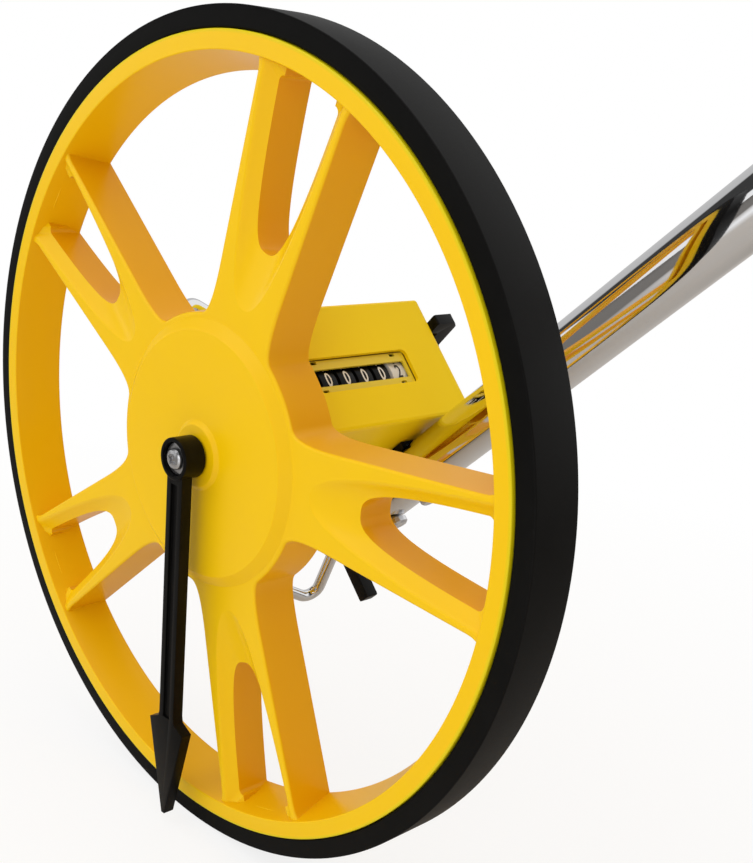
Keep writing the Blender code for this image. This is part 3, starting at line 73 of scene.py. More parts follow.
HANDLE_LEAN = math.radians(43.4)
TUBE_Y = 0.0861
TUBE_DROP = 0.0302
TUBE_RADIUS = 0.011
WHEEL_FRAME = Matrix.Translation((0.0, TYRE_LOW.y, AXLE_HEIGHT))
HANDLE_FRAME = WHEEL_FRAME @ Matrix.Rotation(-HANDLE_LEAN, 4, "Y")
TUBE_PLACE = Matrix.Translation((0.0, TUBE_Y, -TUBE_DROP))
TUBE_FRAME = HANDLE_FRAME @ TUBE_PLACE
ALONG_X = Matrix.Rotation(-math.pi / 2, 4, "Z")
# The counter's window in the handle's frame: near and far end along the axle, bottom and top.
WINDOW = (0.0300, 0.0835, -0.0014, 0.0136)
DRUM_PLACES = [0.03023 + k * 0.00957 for k in range(6)]
DRUM_FRAME = HANDLE_FRAME @ Matrix.Translation((0.0282, 0.0, 0.0056))
DRUM_RADIUS = 0.011
DRUM_HALF = 0.0043
SHOWN_FIGURES = (0, 0, 0, 0, 0, 2)
# Small moulded pieces' edges: the rounding, the least angle that is rounded, and its steps.
SMALL_EDGE = 0.00035
EDGE_ANGLE = math.radians(36.0)
EDGE_STEPS = 3


# Settings

def tone(name, description, *default):
    """A colour in the sidebar."""
    return FloatVectorProperty(name=name, description=description, default=default, size=3,
                               subtype="COLOR", min=0.0, max=1.0)


def number(name, description, default, low, high, kind=FloatProperty, **more):
    """A number in the sidebar, with its unit or subtype where one fits."""
    return kind(name=name, description=description, default=default, min=low, max=high, **more)


def length(*values):
    return number(*values, unit="LENGTH")


class FinishSettings(bpy.types.PropertyGroup):
    """Colours and gloss of the finishes."""
    wheel_yellow: tone("Wheel yellow", "Colour of the moulded wheel", 0.92, 0.575, 0.0004)
    # The walls' colour is painted shade: a deeper orange in place of the walls' shading.
    wall_yellow: tone("Wall painted shade", "Colour of the wheel's moulded walls", 0.80, 0.372, 0.0002)
    wheel_edge: tone("Rim edge", "Colour of the rim next to the rubber", 0.64, 0.64, 0.003)
    box_yellow: tone("Box yellow", "Colour of the counter box's paint", 0.97, 0.71, 0.0006)
    rubber_black: tone("Rubber", "Colour of the tyre and grip", 0.0032, 0.0031, 0.0029)
    plastic_black: tone("Black plastic", "Colour of the pointer and lever",
                        0.0022, 0.0021, 0.0020)
    wheel_gloss: number("Wheel roughness", "Roughness of the moulded wheel", 0.30, 0.05, 1.0,
                        subtype="FACTOR")
    rubber_gloss: number("Rubber roughness", "Roughness of the tyre", 0.42, 0.05, 1.0,
                         subtype="FACTOR")


class WheelSettings(bpy.types.PropertyGroup):
    """Sizes of the tyre, wheel and pointer."""
    steps: number("Steps", "Segments round the tyre and rim", 288, 72, 720, IntProperty)
    tread_round: length("Tread edge", "Rounding of the tyre's tread edges", 0.0007, 0.0001, 0.003)
    mould_round: length("Moulded edge", "Rounding of the wheel's moulded edges",
                        0.0011, 0.0001, 0.002)
    spoke_root: length("Spoke at hub", "Half width of a spoke at the hub", 0.0177, 0.01, 0.02)
    spoke_tip: length("Spoke at rim", "Half width of a spoke at the rim", 0.0246, 0.018, 0.03)


class CounterSettings(bpy.types.PropertyGroup):
    """Sizes of the counter's figures."""
    figure_height: length("Figure height", "Height of the drum figures", 0.0062, 0.003, 0.007)
    figure_rise: length("Figure rise", "How far the ink stands off the drum",
                        0.00004, 0.00001, 0.0002)


class HandleSettings(bpy.types.PropertyGroup):
    """Sizes of the tubes, stand wire and grip."""
    wire_radius: length("Wire radius", "Radius of the stand's wire", 0.00275, 0.001, 0.005)
    grip_ribs: number("Grip ribs", "Ribs along the grip", 8, 3, 20, IntProperty)
    round_steps: number("Steps", "Segments round the tubes", 96, 24, 256, IntProperty)


class StageSettings(bpy.types.PropertyGroup):
    """Floor, lamps and camera."""
    lens: number("Lens", "Focal length of the camera in millimetres", 49.118, 20.0, 200.0)
    key_power: number("Key lamp", "Power of the large lamp at the front", 5.0, 0.0, 200.0,
                      unit="POWER")
    side_power: number("Side lamp", "Power of the lamp at the far side", 6.0, 0.0, 200.0,
                       unit="POWER")
    top_power: number("Top lamp", "Power of the lamp overhead", 3.5, 0.0, 200.0, unit="POWER")
    ambient: number("Ambient", "Strength of the even light from all round", 0.75, 0.0, 2.0)
    room: number("Room", "How bright the room behind the camera shows in gloss",
                 0.12, 0.0, 1.0, subtype="FACTOR")
    floor_white: number("Floor white", "Share of plain white in the floor at the object",
                        0.82, 0.0, 1.0, subtype="FACTOR")
    floor_radius: length("Floor", "Radius of the floor", 9.0, 1.0, 30.0)


SETTING_GROUPS = (FinishSettings, WheelSettings, CounterSettings, HandleSettings, StageSettings)
SETTING_NAMES = ("mw_finish", "mw_wheel", "mw_counter", "mw_handle", "mw_stage")


# Shader maths

class Link:
    """One output of a shader node, with arithmetic that adds Math nodes."""

    def __init__(self, finish, socket):
        self.finish = finish
        self.socket = socket

    def math(self, operation, *others, clamp=False):
        return self.finish.node("ShaderNodeMath", {"operation": operation, "use_clamp": clamp},
                                dict(enumerate((self, *others))))

    def after(self, operation, other):
        return self.finish.node("ShaderNodeMath", {"operation": operation}, {0: other, 1: self})

    def __add__(self, other):
        return self.math("ADD", other)

    __radd__ = __add__

    def __mul__(self, other):
        return self.math("MULTIPLY", other)

    __rmul__ = __mul__

    def __sub__(self, other):
        return self.math("SUBTRACT", other)

    def __rsub__(self, other):
        return self.after("SUBTRACT", other)

    def __truediv__(self, other):
        return self.math("DIVIDE", other)

    def __rtruediv__(self, other):
        return self.after("DIVIDE", other)

    def __pow__(self, other):
        return self.math("POWER", other)

    def __rpow__(self, other):
        return self.after("POWER", other)

    def step(self, start, end):
        """0 below start and 1 above end, or the other way round where end is below start."""
        return ((self - start) / (end - start)).math("ADD", 0.0, clamp=True)


class Finish:
    """The node tree of a material or of the world."""

    def __init__(self, name, owners="materials"):
        self.owner = getattr(bpy.data, owners).new(name)
        self.owner.use_nodes = True
        self.tree = self.owner.node_tree
        self.shader = self.tree.nodes.get("Principled BSDF")

    def node(self, kind, settings=None, inputs=None, output=0):
        made = self.tree.nodes.new(kind)
        for name, value in (settings or {}).items():
            setattr(made, name, value)
        for name, value in (inputs or {}).items():
            self.feed(made.inputs[name], value)
        return Link(self, made.outputs[output])

    def feed(self, socket, value):
        if isinstance(value, Link):
            self.tree.links.new(value.socket, socket)
        else:
            socket.default_value = (*value, 1.0) if socket.type == "RGBA" else value

    def shade(self, **values):
        for name, value in values.items():
            self.feed(self.shader.inputs[name.replace("_", " ")], value)
        return self.owner

    def surface(self, link):
        for end in self.tree.nodes:
            if end.bl_idname.startswith("ShaderNodeOutput"):
                self.feed(end.inputs["Surface"], link)

    def outputs(self, link, *names):
        """More outputs of the node behind a link."""
        return [Link(self, link.socket.node.outputs[name]) for name in names]

    def axes(self, vector):
        split = self.node("ShaderNodeSeparateXYZ", None, {"Vector": vector})
        return self.outputs(split, "X", "Y", "Z")

    def place(self):
        return self.node("ShaderNodeTexCoord", output="Object")

    def stretched(self, scale, turn=(0.0, 0.0, 0.0)):
        return self.node("ShaderNodeMapping", None,
                         {"Vector": self.place(), "Scale": scale, "Rotation": turn})

    def noise(self, scale, detail=2.0, roughness=0.5, at=None, distortion=0.0):
        return self.node("ShaderNodeTexNoise", None, {
            "Vector": at or self.place(), "Scale": scale, "Detail": detail,
            "Roughness": roughness, "Distortion": distortion})

    def mix(self, factor, first, second):
        return self.node("ShaderNodeMix", {"data_type": "RGBA"},
                         {0: factor, 6: first, 7: second}, output=2)

    def coat(self, color, roughness, height, strength, distance, **more):
        """The finished material, with a Bump of the height."""
        bump = self.node("ShaderNodeBump", None,
                         {"Height": height, "Strength": strength, "Distance": distance})
        return self.shade(Base_Color=color, Roughness=roughness, Normal=bump, **more)


def grey(level):
    return (level, level, level)


def radius_from_axle(finish):
    """A point's distance from the axle line, for what changes from hub to tyre."""
    x, _, z = finish.axes(finish.place())
    z = z - AXLE_HEIGHT
    return (x * x + z * z) ** 0.5


# Finishes

def moulded_yellow():
    """Glossy moulded plastic with flow marks, painted shade on its walls, greener at the rubber."""
    chosen = bpy.context.scene.mw_finish
    finish = Finish("moulded_yellow")
    red, green, _ = chosen.wheel_yellow
    flow = finish.noise(28.0, 4.0, 0.55, distortion=1.2)
    cloud = finish.noise(9.0, 2.0, 0.5)
    grain = finish.noise(900.0, 2.0, 0.6)
    body = finish.mix(flow.step(0.42, 0.62) * 0.35, chosen.wheel_yellow,
                      (red * 0.985, green * 0.965, 0.006))
    body = finish.mix(cloud.step(0.4, 0.7) * 0.25, body, (red, green * 1.03, 0.003))
    # The faces look along Y; the walls between them get painted shade, a deeper orange.
    _, along_axle, _ = finish.axes(finish.node("ShaderNodeTexCoord", output="Normal"))
    wall = (1.0 - along_axle.math("ABSOLUTE")).step(0.35, 0.95)
    body = finish.mix(wall * 0.8, body, chosen.wall_yellow)
    edge = radius_from_axle(finish).step(0.1497, 0.1511)
    color = finish.mix(edge * 0.75, body, chosen.wheel_edge)
    rough = chosen.wheel_gloss - 0.05 + flow * 0.06 + grain * 0.05
    height = finish.noise(260.0, 3.0, 0.5) * 0.7 + grain * 0.3
    return finish.coat(color, rough, height, 0.10, 0.00010, Specular_IOR_Level=0.24)


def powder_paint():
    """Satin powder paint with a fine orange-peel texture."""
    chosen = bpy.context.scene.mw_finish
    finish = Finish("powder_paint")
    red, green, _ = chosen.box_yellow
    peel = finish.noise(520.0, 2.0, 0.5)
    cloud = finish.noise(22.0, 3.0, 0.5)
    color = finish.mix(cloud.step(0.35, 0.7) * 0.3, chosen.box_yellow,
                       (red * 0.97, green * 0.96, 0.01))
    rough = 0.30 + cloud * 0.08 + peel * 0.05
    return finish.coat(color, rough, peel, 0.25, 0.0001, Specular_IOR_Level=0.18)


def plate_paint():
    """Paler lacquer of the counter plate, with a shadow line where the window's edge meets it."""
    finish = Finish("plate_paint")
    streak = finish.noise(240.0, 3.0, 0.6, at=finish.stretched((1.0, 0.15, 1.0)))
    color = finish.mix(streak.step(0.35, 0.7) * 0.6, (0.80, 0.63, 0.030), (0.74, 0.61, 0.065))
    x, y, z = finish.axes(finish.place())
    axle_y = y - TYRE_LOW.y
    height = (z - AXLE_HEIGHT) * math.cos(HANDLE_LEAN) - x * math.sin(HANDLE_LEAN)
    near, far, bottom, top = WINDOW
    across = (axle_y - (near + far) / 2).math("ABSOLUTE") - (far - near) / 2
    upward = (height - (bottom + top) / 2).math("ABSOLUTE") - (top - bottom) / 2
    edge = across.math("MAXIMUM", upward).step(-0.0005, -0.0003)
    color = finish.mix(edge * 0.9, color, (0.09, 0.035, 0.004))
    rough = 0.24 + streak * 0.12
    return finish.coat(color, rough, streak, 0.15, 0.00006, Specular_IOR_Level=0.3)


def black_rubber(name, roughness, gain):
    """Black rubber with dusty mottling and a fine grain."""
    chosen = bpy.context.scene.mw_finish
    finish = Finish(name)
    dust = finish.noise(45.0, 5.0, 0.6, distortion=0.6)
    grain = finish.noise(1400.0, 2.0, 0.5)
    scuff = finish.noise(160.0, 4.0, 0.65, at=finish.stretched((1.0, 6.0, 1.0)))
    dark, dusty = ([part * gain for part in black]
                   for black in (chosen.rubber_black, (0.0065, 0.0063, 0.0060)))
    color = finish.mix(dust.step(0.42, 0.75) * 0.5, dark, dusty)
    color = finish.mix(scuff.step(0.66, 0.8) * 0.3, color, (0.013, 0.0125, 0.012))
    rough = roughness + dust * 0.10 + grain * 0.05
    height = grain * 0.5 + scuff * 0.5
    return finish.coat(color, rough, height, 0.18, 0.00008, Specular_IOR_Level=0.10)


def black_plastic():
    """Semi-gloss black moulding with a light spark-eroded grain."""
    chosen = bpy.context.scene.mw_finish
    finish = Finish("black_plastic")
    grain = finish.noise(1500.0, 3.0, 0.6)
    smear = finish.noise(70.0, 4.0, 0.6, distortion=0.8)
    color = finish.mix(smear.step(0.45, 0.75) * 0.6, chosen.plastic_black,
                       (0.0060, 0.0058, 0.0056))
    rough = 0.27 + smear * 0.12 + grain * 0.06
    return finish.coat(color, rough, grain, 0.12, 0.00006, Specular_IOR_Level=0.13)


def chrome_plate():
    """Bright chrome with faint polishing lines along the tube and light smears."""
    finish = Finish("chrome_plate")
    along = finish.stretched((0.04, 1.0, 1.0), (0.0, HANDLE_LEAN, 0.0))
    lines = finish.noise(1800.0, 2.0, 0.5, at=along)
    smear = finish.noise(35.0, 4.0, 0.6, distortion=1.0)
    color = finish.mix(smear.step(0.4, 0.8) * 0.4, (0.78, 0.78, 0.79), (0.71, 0.71, 0.725))
    rough = 0.035 + smear.step(0.45, 0.8) * 0.05 + lines * 0.02
    return finish.coat(color, rough, lines, 0.05, 0.00003, Metallic=1.0)


def plated_metal(name, color, dark, roughness):
    """Turned or rolled metal with fine tool marks and a mottled plate."""
    finish = Finish(name)
    marks = finish.noise(900.0, 3.0, 0.6, at=finish.stretched((1.0, 0.08, 1.0)))
    stain = finish.noise(120.0, 4.0, 0.6)
    mixed = finish.mix(stain.step(0.35, 0.75) * 0.6, color, dark)
    rough = roughness + stain * 0.12 + marks * 0.08
    return finish.coat(mixed, rough, marks, 0.2, 0.00005, Metallic=1.0)


def plain_plastic(name, color, dark, roughness):
    """Matt moulded plastic or ink with a fine grain and slight mottling."""
    finish = Finish(name)
    grain = finish.noise(1300.0, 2.0, 0.6)
    stain = finish.noise(90.0, 4.0, 0.6)
    mixed = finish.mix(stain.step(0.4, 0.8) * 0.5, color, dark)
    rough = roughness + stain * 0.08 + grain * 0.05
    return finish.coat(mixed, rough, grain, 0.12, 0.00005)


# Each row ends with the material's name, colour, darker mottling and roughness. A metal's row
# starts with its slot, and a plastic's name is its slot.
METALS = (
    ("zinc_plate", "zinc_plate", (0.68, 0.68, 0.69), (0.52, 0.52, 0.54), 0.20),
    ("steel", "ground_steel", (0.50, 0.50, 0.51), (0.36, 0.36, 0.37), 0.26),
    ("spring_steel", "spring_steel", (0.24, 0.24, 0.25), (0.14, 0.14, 0.145), 0.30),
    ("bearing_bronze", "bearing_bronze", (0.45, 0.27, 0.11), (0.30, 0.17, 0.07), 0.38),
)
PLASTICS = (
    ("white_plastic", (0.78, 0.78, 0.76), (0.70, 0.70, 0.67), 0.36),
    ("grey_plastic", (0.36, 0.36, 0.36), (0.28, 0.28, 0.28), 0.46),
    ("white_ink", (0.82, 0.82, 0.80), (0.72, 0.72, 0.70), 0.5),
    ("black_ink", (0.012, 0.012, 0.012), (0.02, 0.02, 0.02), 0.5),
)
FINISHES = {}


def make_finishes():
    tyre_roughness = bpy.context.scene.mw_finish.rubber_gloss
    FINISHES.update({
        "wheel_plastic": moulded_yellow(),
        "body_paint": powder_paint(),
        "plate_paint": plate_paint(),
        "tyre_rubber": black_rubber("tyre_rubber", tyre_roughness, 1.0),
        "grip_rubber": black_rubber("grip_rubber", 0.6, 1.3),
        "black_plastic": black_plastic(),
        "chrome_plate": chrome_plate(),
    })
    FINISHES.update({slot: plated_metal(*row) for slot, *row in METALS})
    FINISHES.update({row[0]: plain_plastic(*row) for row in PLASTICS})


# Mesh helpers

def frozen(name, shape):
    """The mesh of a finished BMesh."""
    mesh = bpy.data.meshes.new(name)
    shape.to_mesh(mesh)
    shape.free()
    return mesh


def linked(name, data):
    """A new object in the scene."""
    item = bpy.data.objects.new(name, data)
    bpy.context.scene.collection.objects.link(item)
    return item


def smooth(mesh, sharp=32.0):
    mesh.shade_smooth()
    mesh.set_sharp_from_angle(angle=math.radians(sharp))


def even_shading(item):
    item.modifiers.new("even_shading", "WEIGHTED_NORMAL").keep_sharp = True


def piece(name, shape, place_at, slot, body, *nodes, sharp=32.0, inks=()):
    """Links a finished mesh as one piece that rides on a body and stands for CAD nodes."""
    mesh = frozen(name, shape) if isinstance(shape, bmesh.types.BMesh) else shape
    mesh.name = name
    if not mesh.polygons:
        raise RuntimeError("%s came out empty" % name)
    mesh.transform(place_at)
    for finish in (slot, *inks):
        mesh.materials.append(FINISHES[finish])
    smooth(mesh, sharp)
    item = linked(name, mesh)
    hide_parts(*nodes)
    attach(item, body)
    return item


def curve_point(start, corner, end, share):
    """A point of the curve from start to end that is drawn towards the corner."""
    return start * (1 - share) ** 2 + corner * 2 * share * (1 - share) + end * share ** 2


def filleted(points, radius, steps=4, closed=False, keep=()):
    """The outline with each corner rounded, except those numbered in keep."""
    found = []
    count = len(points)
    for k, point in enumerate(points):
        here = Vector(point)
        if (not closed and k in (0, count - 1)) or k in keep:
            found.append(here)
            continue
        back = Vector(points[k - 1]) - here
        ahead = Vector(points[(k + 1) % count]) - here
        turn = back.angle(ahead)
        reach = min(radius / max(math.tan(turn / 2), 0.05), back.length * 0.45,
                    ahead.length * 0.45)
        start = here + back.normalized() * reach
        end = here + ahead.normalized() * reach
        found += [curve_point(start, here, end, j / steps) for j in range(steps + 1)]
    return [tuple(point) for point in found]


def rectangle(left, right, low, high):
    return [(left, low), (right, low), (right, high), (left, high)]


def turned(profile, steps, closed=False):
    """A solid turned about Y: the profile is (radius, along Y)."""
    shape = bmesh.new()
    rings = []
    for radius, along in profile:
        # On the axis a ring is one point.
        angles = [math.tau * k / steps for k in range(steps if radius > 0.0 else 1)]
        rings.append([shape.verts.new((radius * math.cos(angle), along, radius * math.sin(angle)))
                      for angle in angles])
    pairs = list(zip(rings, rings[1:]))
    if closed:
        pairs.append((rings[-1], rings[0]))
    for first, second in pairs:
        if len(first) == 1 and len(second) == 1:
            continue
        for k in range(steps):
            after = (k + 1) % steps
            corners = [first[k % len(first)], first[after % len(first)],
                       second[after % len(second)], second[k % len(second)]]
            shape.faces.new(list(dict.fromkeys(corners)))
    bmesh.ops.recalc_face_normals(shape, faces=shape.faces)
    return shape


def rod(radius, near, far, steps, x=0.0, z=0.0):
    """A round bar along Y, with its middle line through x and z."""
    shape = turned(rectangle(0.0, radius, near, far), steps)
    bmesh.ops.translate(shape, verts=shape.verts, vec=(x, 0.0, z))
    return shape


def prism(outline, near, far):
    """A flat solid: the outline is (x, z), and it reaches from near to far along Y."""
    shape = bmesh.new()
    front = [shape.verts.new((x, near, z)) for x, z in outline]
    back = [shape.verts.new((x, far, z)) for x, z in outline]
    count = len(outline)
    shape.faces.new(front)
    shape.faces.new(list(reversed(back)))
    for k in range(count):
        after = (k + 1) % count
        shape.faces.new((front[after], front[k], back[k], back[after]))
    bmesh.ops.recalc_face_normals(shape, faces=shape.faces)
    return shape


def lofted(rows):
    """A solid through equal closed rows of points, closed at both ends."""
    shape = bmesh.new()
    made = [[shape.verts.new(point) for point in row] for row in rows]
    count = len(rows[0])
    for first, second in zip(made, made[1:]):
        for k in range(count):
            after = (k + 1) % count
            shape.faces.new((first[k], first[after], second[after], second[k]))
    shape.faces.new(made[0])
    shape.faces.new(list(reversed(made[-1])))
    bmesh.ops.recalc_face_normals(shape, faces=shape.faces)
    return shape


def evaluated(item):
    bpy.context.view_layer.update()
    graph = bpy.context.evaluated_depsgraph_get()
    return bpy.data.meshes.new_from_object(item.evaluated_get(graph))


def combined(base, changes, edge=0.0):
    """The mesh of a base solid after its Booleans and, where edge is above 0, its rounding."""
    item = linked("scratch", frozen("scratch", base))
    tools = []
    for operation, shape in changes:
        tool = linked("scratch", frozen("scratch", shape))
        tools.append(tool)
        change = item.modifiers.new("change", "BOOLEAN")
        change.operation = operation
        change.solver = "EXACT"
        change.object = tool
    mesh = evaluated(item)
    item.modifiers.clear()
    item.data = mesh
    if edge > 0.0:
        # Corners that the Booleans leave almost on each other would stop the rounding.
        clean = bmesh.new()
        clean.from_mesh(mesh)
        bmesh.ops.remove_doubles(clean, verts=clean.verts, dist=0.00004)
        bmesh.ops.dissolve_degenerate(clean, dist=0.00002, edges=clean.edges)
        clean.to_mesh(mesh)
        clean.free()
        bevel = item.modifiers.new("edges", "BEVEL")
        bevel.width = edge
        bevel.segments = EDGE_STEPS
        bevel.limit_method = "ANGLE"
        bevel.angle_limit = EDGE_ANGLE
        bevel.miter_outer = "MITER_ARC"
        mesh = evaluated(item)
    for used in tools + [item]:
        bpy.data.objects.remove(used, do_unlink=True)
    return mesh


def turned_outline(outline, angle):
    cosine = math.cos(angle)
    sine = math.sin(angle)
    return [(x * cosine - z * sine, x * sine + z * cosine) for x, z in outline]


def inset(outline, distance):
    """The closed outline moved inwards, or outwards where the distance is below 0."""
    count = len(outline)
    area = sum(outline[k][0] * outline[(k + 1) % count][1]
               - outline[(k + 1) % count][0] * outline[k][1] for k in range(count))
    side = distance if area > 0.0 else -distance
    found = []
    for k in range(count):
        here = Vector(outline[k])
        back = (here - Vector(outline[k - 1])).normalized()
        ahead = (Vector(outline[(k + 1) % count]) - here).normalized()
        middle = Vector((-back.y, back.x)) + Vector((-ahead.y, ahead.x))
        found.append(tuple(here + middle * side / max(1.0 + back.dot(ahead), 0.5)))
    return found


def rounded_prism(outline, near, far, edge, draft, steps=4):
    """A flat solid whose near edge is rounded and whose sides widen by the draft."""
    rows = []
    for k in range(steps + 1):
        turn = math.pi / 2 * k / steps
        ring = inset(outline, edge * (1 - math.sin(turn)) + draft * (1 - k / steps * 0.05))
        rows.append([(x, near + edge * (1 - math.cos(turn)), z) for x, z in ring])
    rows.append([(x, far, z) for x, z in outline])
    return lofted(rows)


def round_wire(points, radius, steps=24):
    """A round wire through the points, with rounded-over ends."""
    first = (points[1] - points[0]).normalized()
    last = (points[-1] - points[-2]).normalized()
    side = first.orthogonal().normalized()
    stations = [(points[0] + first * radius * 0.02, radius * 0.82),
                (points[0] + first * radius * 0.15, radius)]
    stations += [(point, radius) for point in points[1:-1]]
    stations += [(points[-1] - last * radius * 0.15, radius),
                 (points[-1] - last * radius * 0.02, radius * 0.82)]
    rows = []
    for k, (spot, thick) in enumerate(stations):
        before = stations[max(k - 1, 0)][0]
        after = stations[min(k + 1, len(stations) - 1)][0]
        tangent = (after - before).normalized()
        side = (side - tangent * side.dot(tangent)).normalized()
        across = tangent.cross(side)
        rows.append([spot + (side * math.cos(math.tau * j / steps)
                             + across * math.sin(math.tau * j / steps)) * thick
                     for j in range(steps)])
    return lofted(rows)


def bent_path(corners, radius, steps=14):
    """Straight runs with round bends."""
    corners = [Vector(corner) for corner in corners]
    found = [corners[0]]
    for before, corner, after in zip(corners, corners[1:], corners[2:]):
        back = (before - corner).normalized()
        ahead = (after - corner).normalized()
        half = back.angle(ahead) / 2
        reach = radius / math.tan(half)
        center = corner + (back + ahead).normalized() * radius / math.sin(half)
        start = corner + back * reach - center
        end = corner + ahead * reach - center
        turn = start.angle(end)
        for k in range(steps + 1):
            share = k / steps
            found.append(center + (start * math.sin((1 - share) * turn)
                                   + end * math.sin(share * turn)) / math.sin(turn))
    found.append(corners[-1])
    return found


# Wheel pieces

class MEASURING_WHEEL_OT_tyre(bpy.types.Operator):
    """Builds the flat-tread rubber tyre"""
    bl_idname = "measuring_wheel.tyre"
    bl_label = "Tyre"

    def execute(self, context):
        chosen = context.scene.mw_wheel
        tongue_in = TYRE_INNER - TONGUE_HEIGHT
        tongue_far = TYRE_WIDTH - TONGUE_INSET
        profile = [(TYRE_INNER + 0.0001, 0.0), (TYRE_RADIUS, 0.0), (TYRE_RADIUS, TYRE_WIDTH),
                   (TYRE_INNER, TYRE_WIDTH), (TYRE_INNER, tongue_far), (tongue_in, tongue_far),
                   (tongue_in, TONGUE_INSET), (TYRE_INNER, TONGUE_INSET)]
        profile = filleted(profile, chosen.tread_round, 5, closed=True, keep=(4, 5, 6, 7))
        piece("tyre_band", turned(profile, chosen.steps, closed=True), WHEEL_FRAME,
              "tyre_rubber", "wheel", "tyre")
        return {"FINISHED"}


def rim_shape(steps):
    """The rim, with the tyre's groove outside and a second groove in its back."""
    outer = TYRE_INNER - 0.0002
    floor = outer - TONGUE_HEIGHT
    near = TONGUE_INSET - 0.0003
    front = -0.001
    back = 0.0191
    wall = 0.0032
    groove_end = back - 0.011
    back_inner = RIM_INNER - 0.0054
    groove_outer = floor - wall
    groove_inner = back_inner + wall
    profile = [(RIM_INNER, front), (outer, front), (outer, near), (floor, near),
               (floor, TYRE_WIDTH - near), (outer, TYRE_WIDTH - near), (outer, back),
               (groove_outer, back), (groove_outer, groove_end),
               (groove_inner + 0.0018, groove_end), (groove_inner, back), (back_inner, back)]
    profile = filleted(profile, 0.0006, 3, closed=True, keep=(2, 3, 4, 5))
    return turned(profile, steps, closed=True)


def star_outline(root, tip):
    """Webs and spokes as one star, from a spoke's half widths at the hub and at the rim.

    Each side runs from the middle of a web, round its curve, and out along the spoke.
    """
    hub_reach = 0.050
    rim_reach = RIM_INNER + 0.0012
    flare = 0.0085
    web_radius = 0.0550
    web_share = 0.34
    web_steps = 6
    fillet_end = 0.0720
    fillet_steps = 14

    def half(x):
        return root + (tip - root) * (x - hub_reach) / (RIM_INNER - hub_reach)

    side = []
    for k in range(web_steps + 1):
        turn = math.pi / SPOKE_COUNT * (1 - web_share * k / web_steps)
        side.append((web_radius * math.cos(turn), web_radius * math.sin(turn)))
    start = Vector(side[-1])
    end = Vector((fillet_end, half(fillet_end)))
    turn = math.pi / SPOKE_COUNT * (1 - web_share)
    leaving = Vector((math.sin(turn), -math.cos(turn)))
    along = (end - Vector((hub_reach, root))).normalized()
    across = end - start
    corner = start + (leaving * (across.x * along.y - across.y * along.x)
                      / (leaving.x * along.y - leaving.y * along.x))
    for k in range(1, fillet_steps + 1):
        side.append(tuple(curve_point(start, corner, end, k / fillet_steps)))
    for share in (0.0, 0.25, 0.45, 0.62, 0.78, 0.92):
        x = rim_reach - flare * (1 - share)
        side.append((x, half(x) + 0.0052 * share ** 2.4))
    side.append((rim_reach + 0.0022, half(rim_reach) + 0.0075))
    spoke = [(x, -z) for x, z in side] + list(reversed(side[1:]))
    outline = []
    for k in range(SPOKE_COUNT):
        outline += turned_outline(spoke, SPOKE_PHASE + k * math.tau / SPOKE_COUNT)
    return outline


def hollow_outline(apex, reach, half, power, corner=0.0022, steps=22, corner_steps=6):
    """The outline of a fork's hollow, from its apex near the hub to the rim and back."""
    side = []
    for k in range(steps):
        share = k / steps
        side.append((apex + (reach - corner - apex) * share ** (1 / power), half * share))
    for k in range(corner_steps + 1):
        turn = math.pi / 2 * k / corner_steps
        side.append((reach - corner * (1 - math.sin(turn)), half - corner * (1 - math.cos(turn))))
    side.append((reach + 0.003, half - corner))
    return side + [(x, -z) for x, z in reversed(side) if z > 0.0]


def hollow_shape(angle, edge):
    """What a fork's hollow takes away: wide with a rounded edge in front, and narrow behind."""
    depth = 0.0040
    front = hollow_outline(0.0622, RIM_INNER + 0.0004, 0.0208, 0.43)
    back = hollow_outline(0.0830, RIM_INNER - 0.0046, 0.0156, 0.34)
    # Each level is how far down it is and how far out the rounded edge reaches there.
    levels = [(-0.5 * edge, 1.6 * edge)]
    for k in range(5):
        turn = math.radians(10 + 60 * k / 4)
        levels.append((edge * (1 - math.cos(turn)), edge * (1 - math.sin(turn))))
    start, out = levels[-1]
    levels += [(start + (depth - start) * k / 5, out * (1 - k / 5) ** 2) for k in range(1, 6)]
    levels += [(depth + 0.0006 * k, 0.0) for k in range(1, 3)] + [(SPOKE_DEPTH + 0.002, 0.0)]
    rows = []
    for down, out in levels:
        share = max(0.0, 1 - min(max(down / depth, 0.0), 1.0) ** 1.25)
        row = [(bx + (fx - bx) * share, bz + (fz - bz) * share)
               for (fx, fz), (bx, bz) in zip(front, back)]
        row = turned_outline(inset(row, -out), angle)
        rows.append([(x, SPOKE_FRONT + down, z) for x, z in row])
    return lofted(rows)


def hub_shape():
    """The hub disc, a little prouder than the spokes, with its raised middle."""
    back = SPOKE_FRONT + SPOKE_DEPTH - 0.0004
    edge = 0.05285
    profile = [(0.0, -0.004), (0.0120, -0.004), (0.0136, -0.0026), (0.0476, -0.0026),
               (0.0525, 0.0008), (edge, 0.0012), (edge, back), (0.0, back)]
    return turned(filleted(profile, 0.0009, 4), 144)


def rib_pocket(k):
    """One pocket between two of the ribs at the hub's back."""
    inner = 0.0140
    outer = 0.0460
    wall = 0.0013
    outer_steps = 16
    inner_steps = 8
    sector = math.tau / SPOKE_COUNT
    start = (k + 0.5) * sector + SPOKE_PHASE
    outline = []
    for j in range(outer_steps + 1):
        angle = start + wall / outer + (sector - 2 * wall / outer) * j / outer_steps
        outline.append((outer * math.cos(angle), outer * math.sin(angle)))
    for j in range(inner_steps + 1):
        angle = start + sector - wall / inner - (sector - 2 * wall / inner) * j / inner_steps
        outline.append((inner * math.cos(angle), inner * math.sin(angle)))
    return prism(outline, 0.0024, SPOKE_FRONT + SPOKE_DEPTH + 0.002)


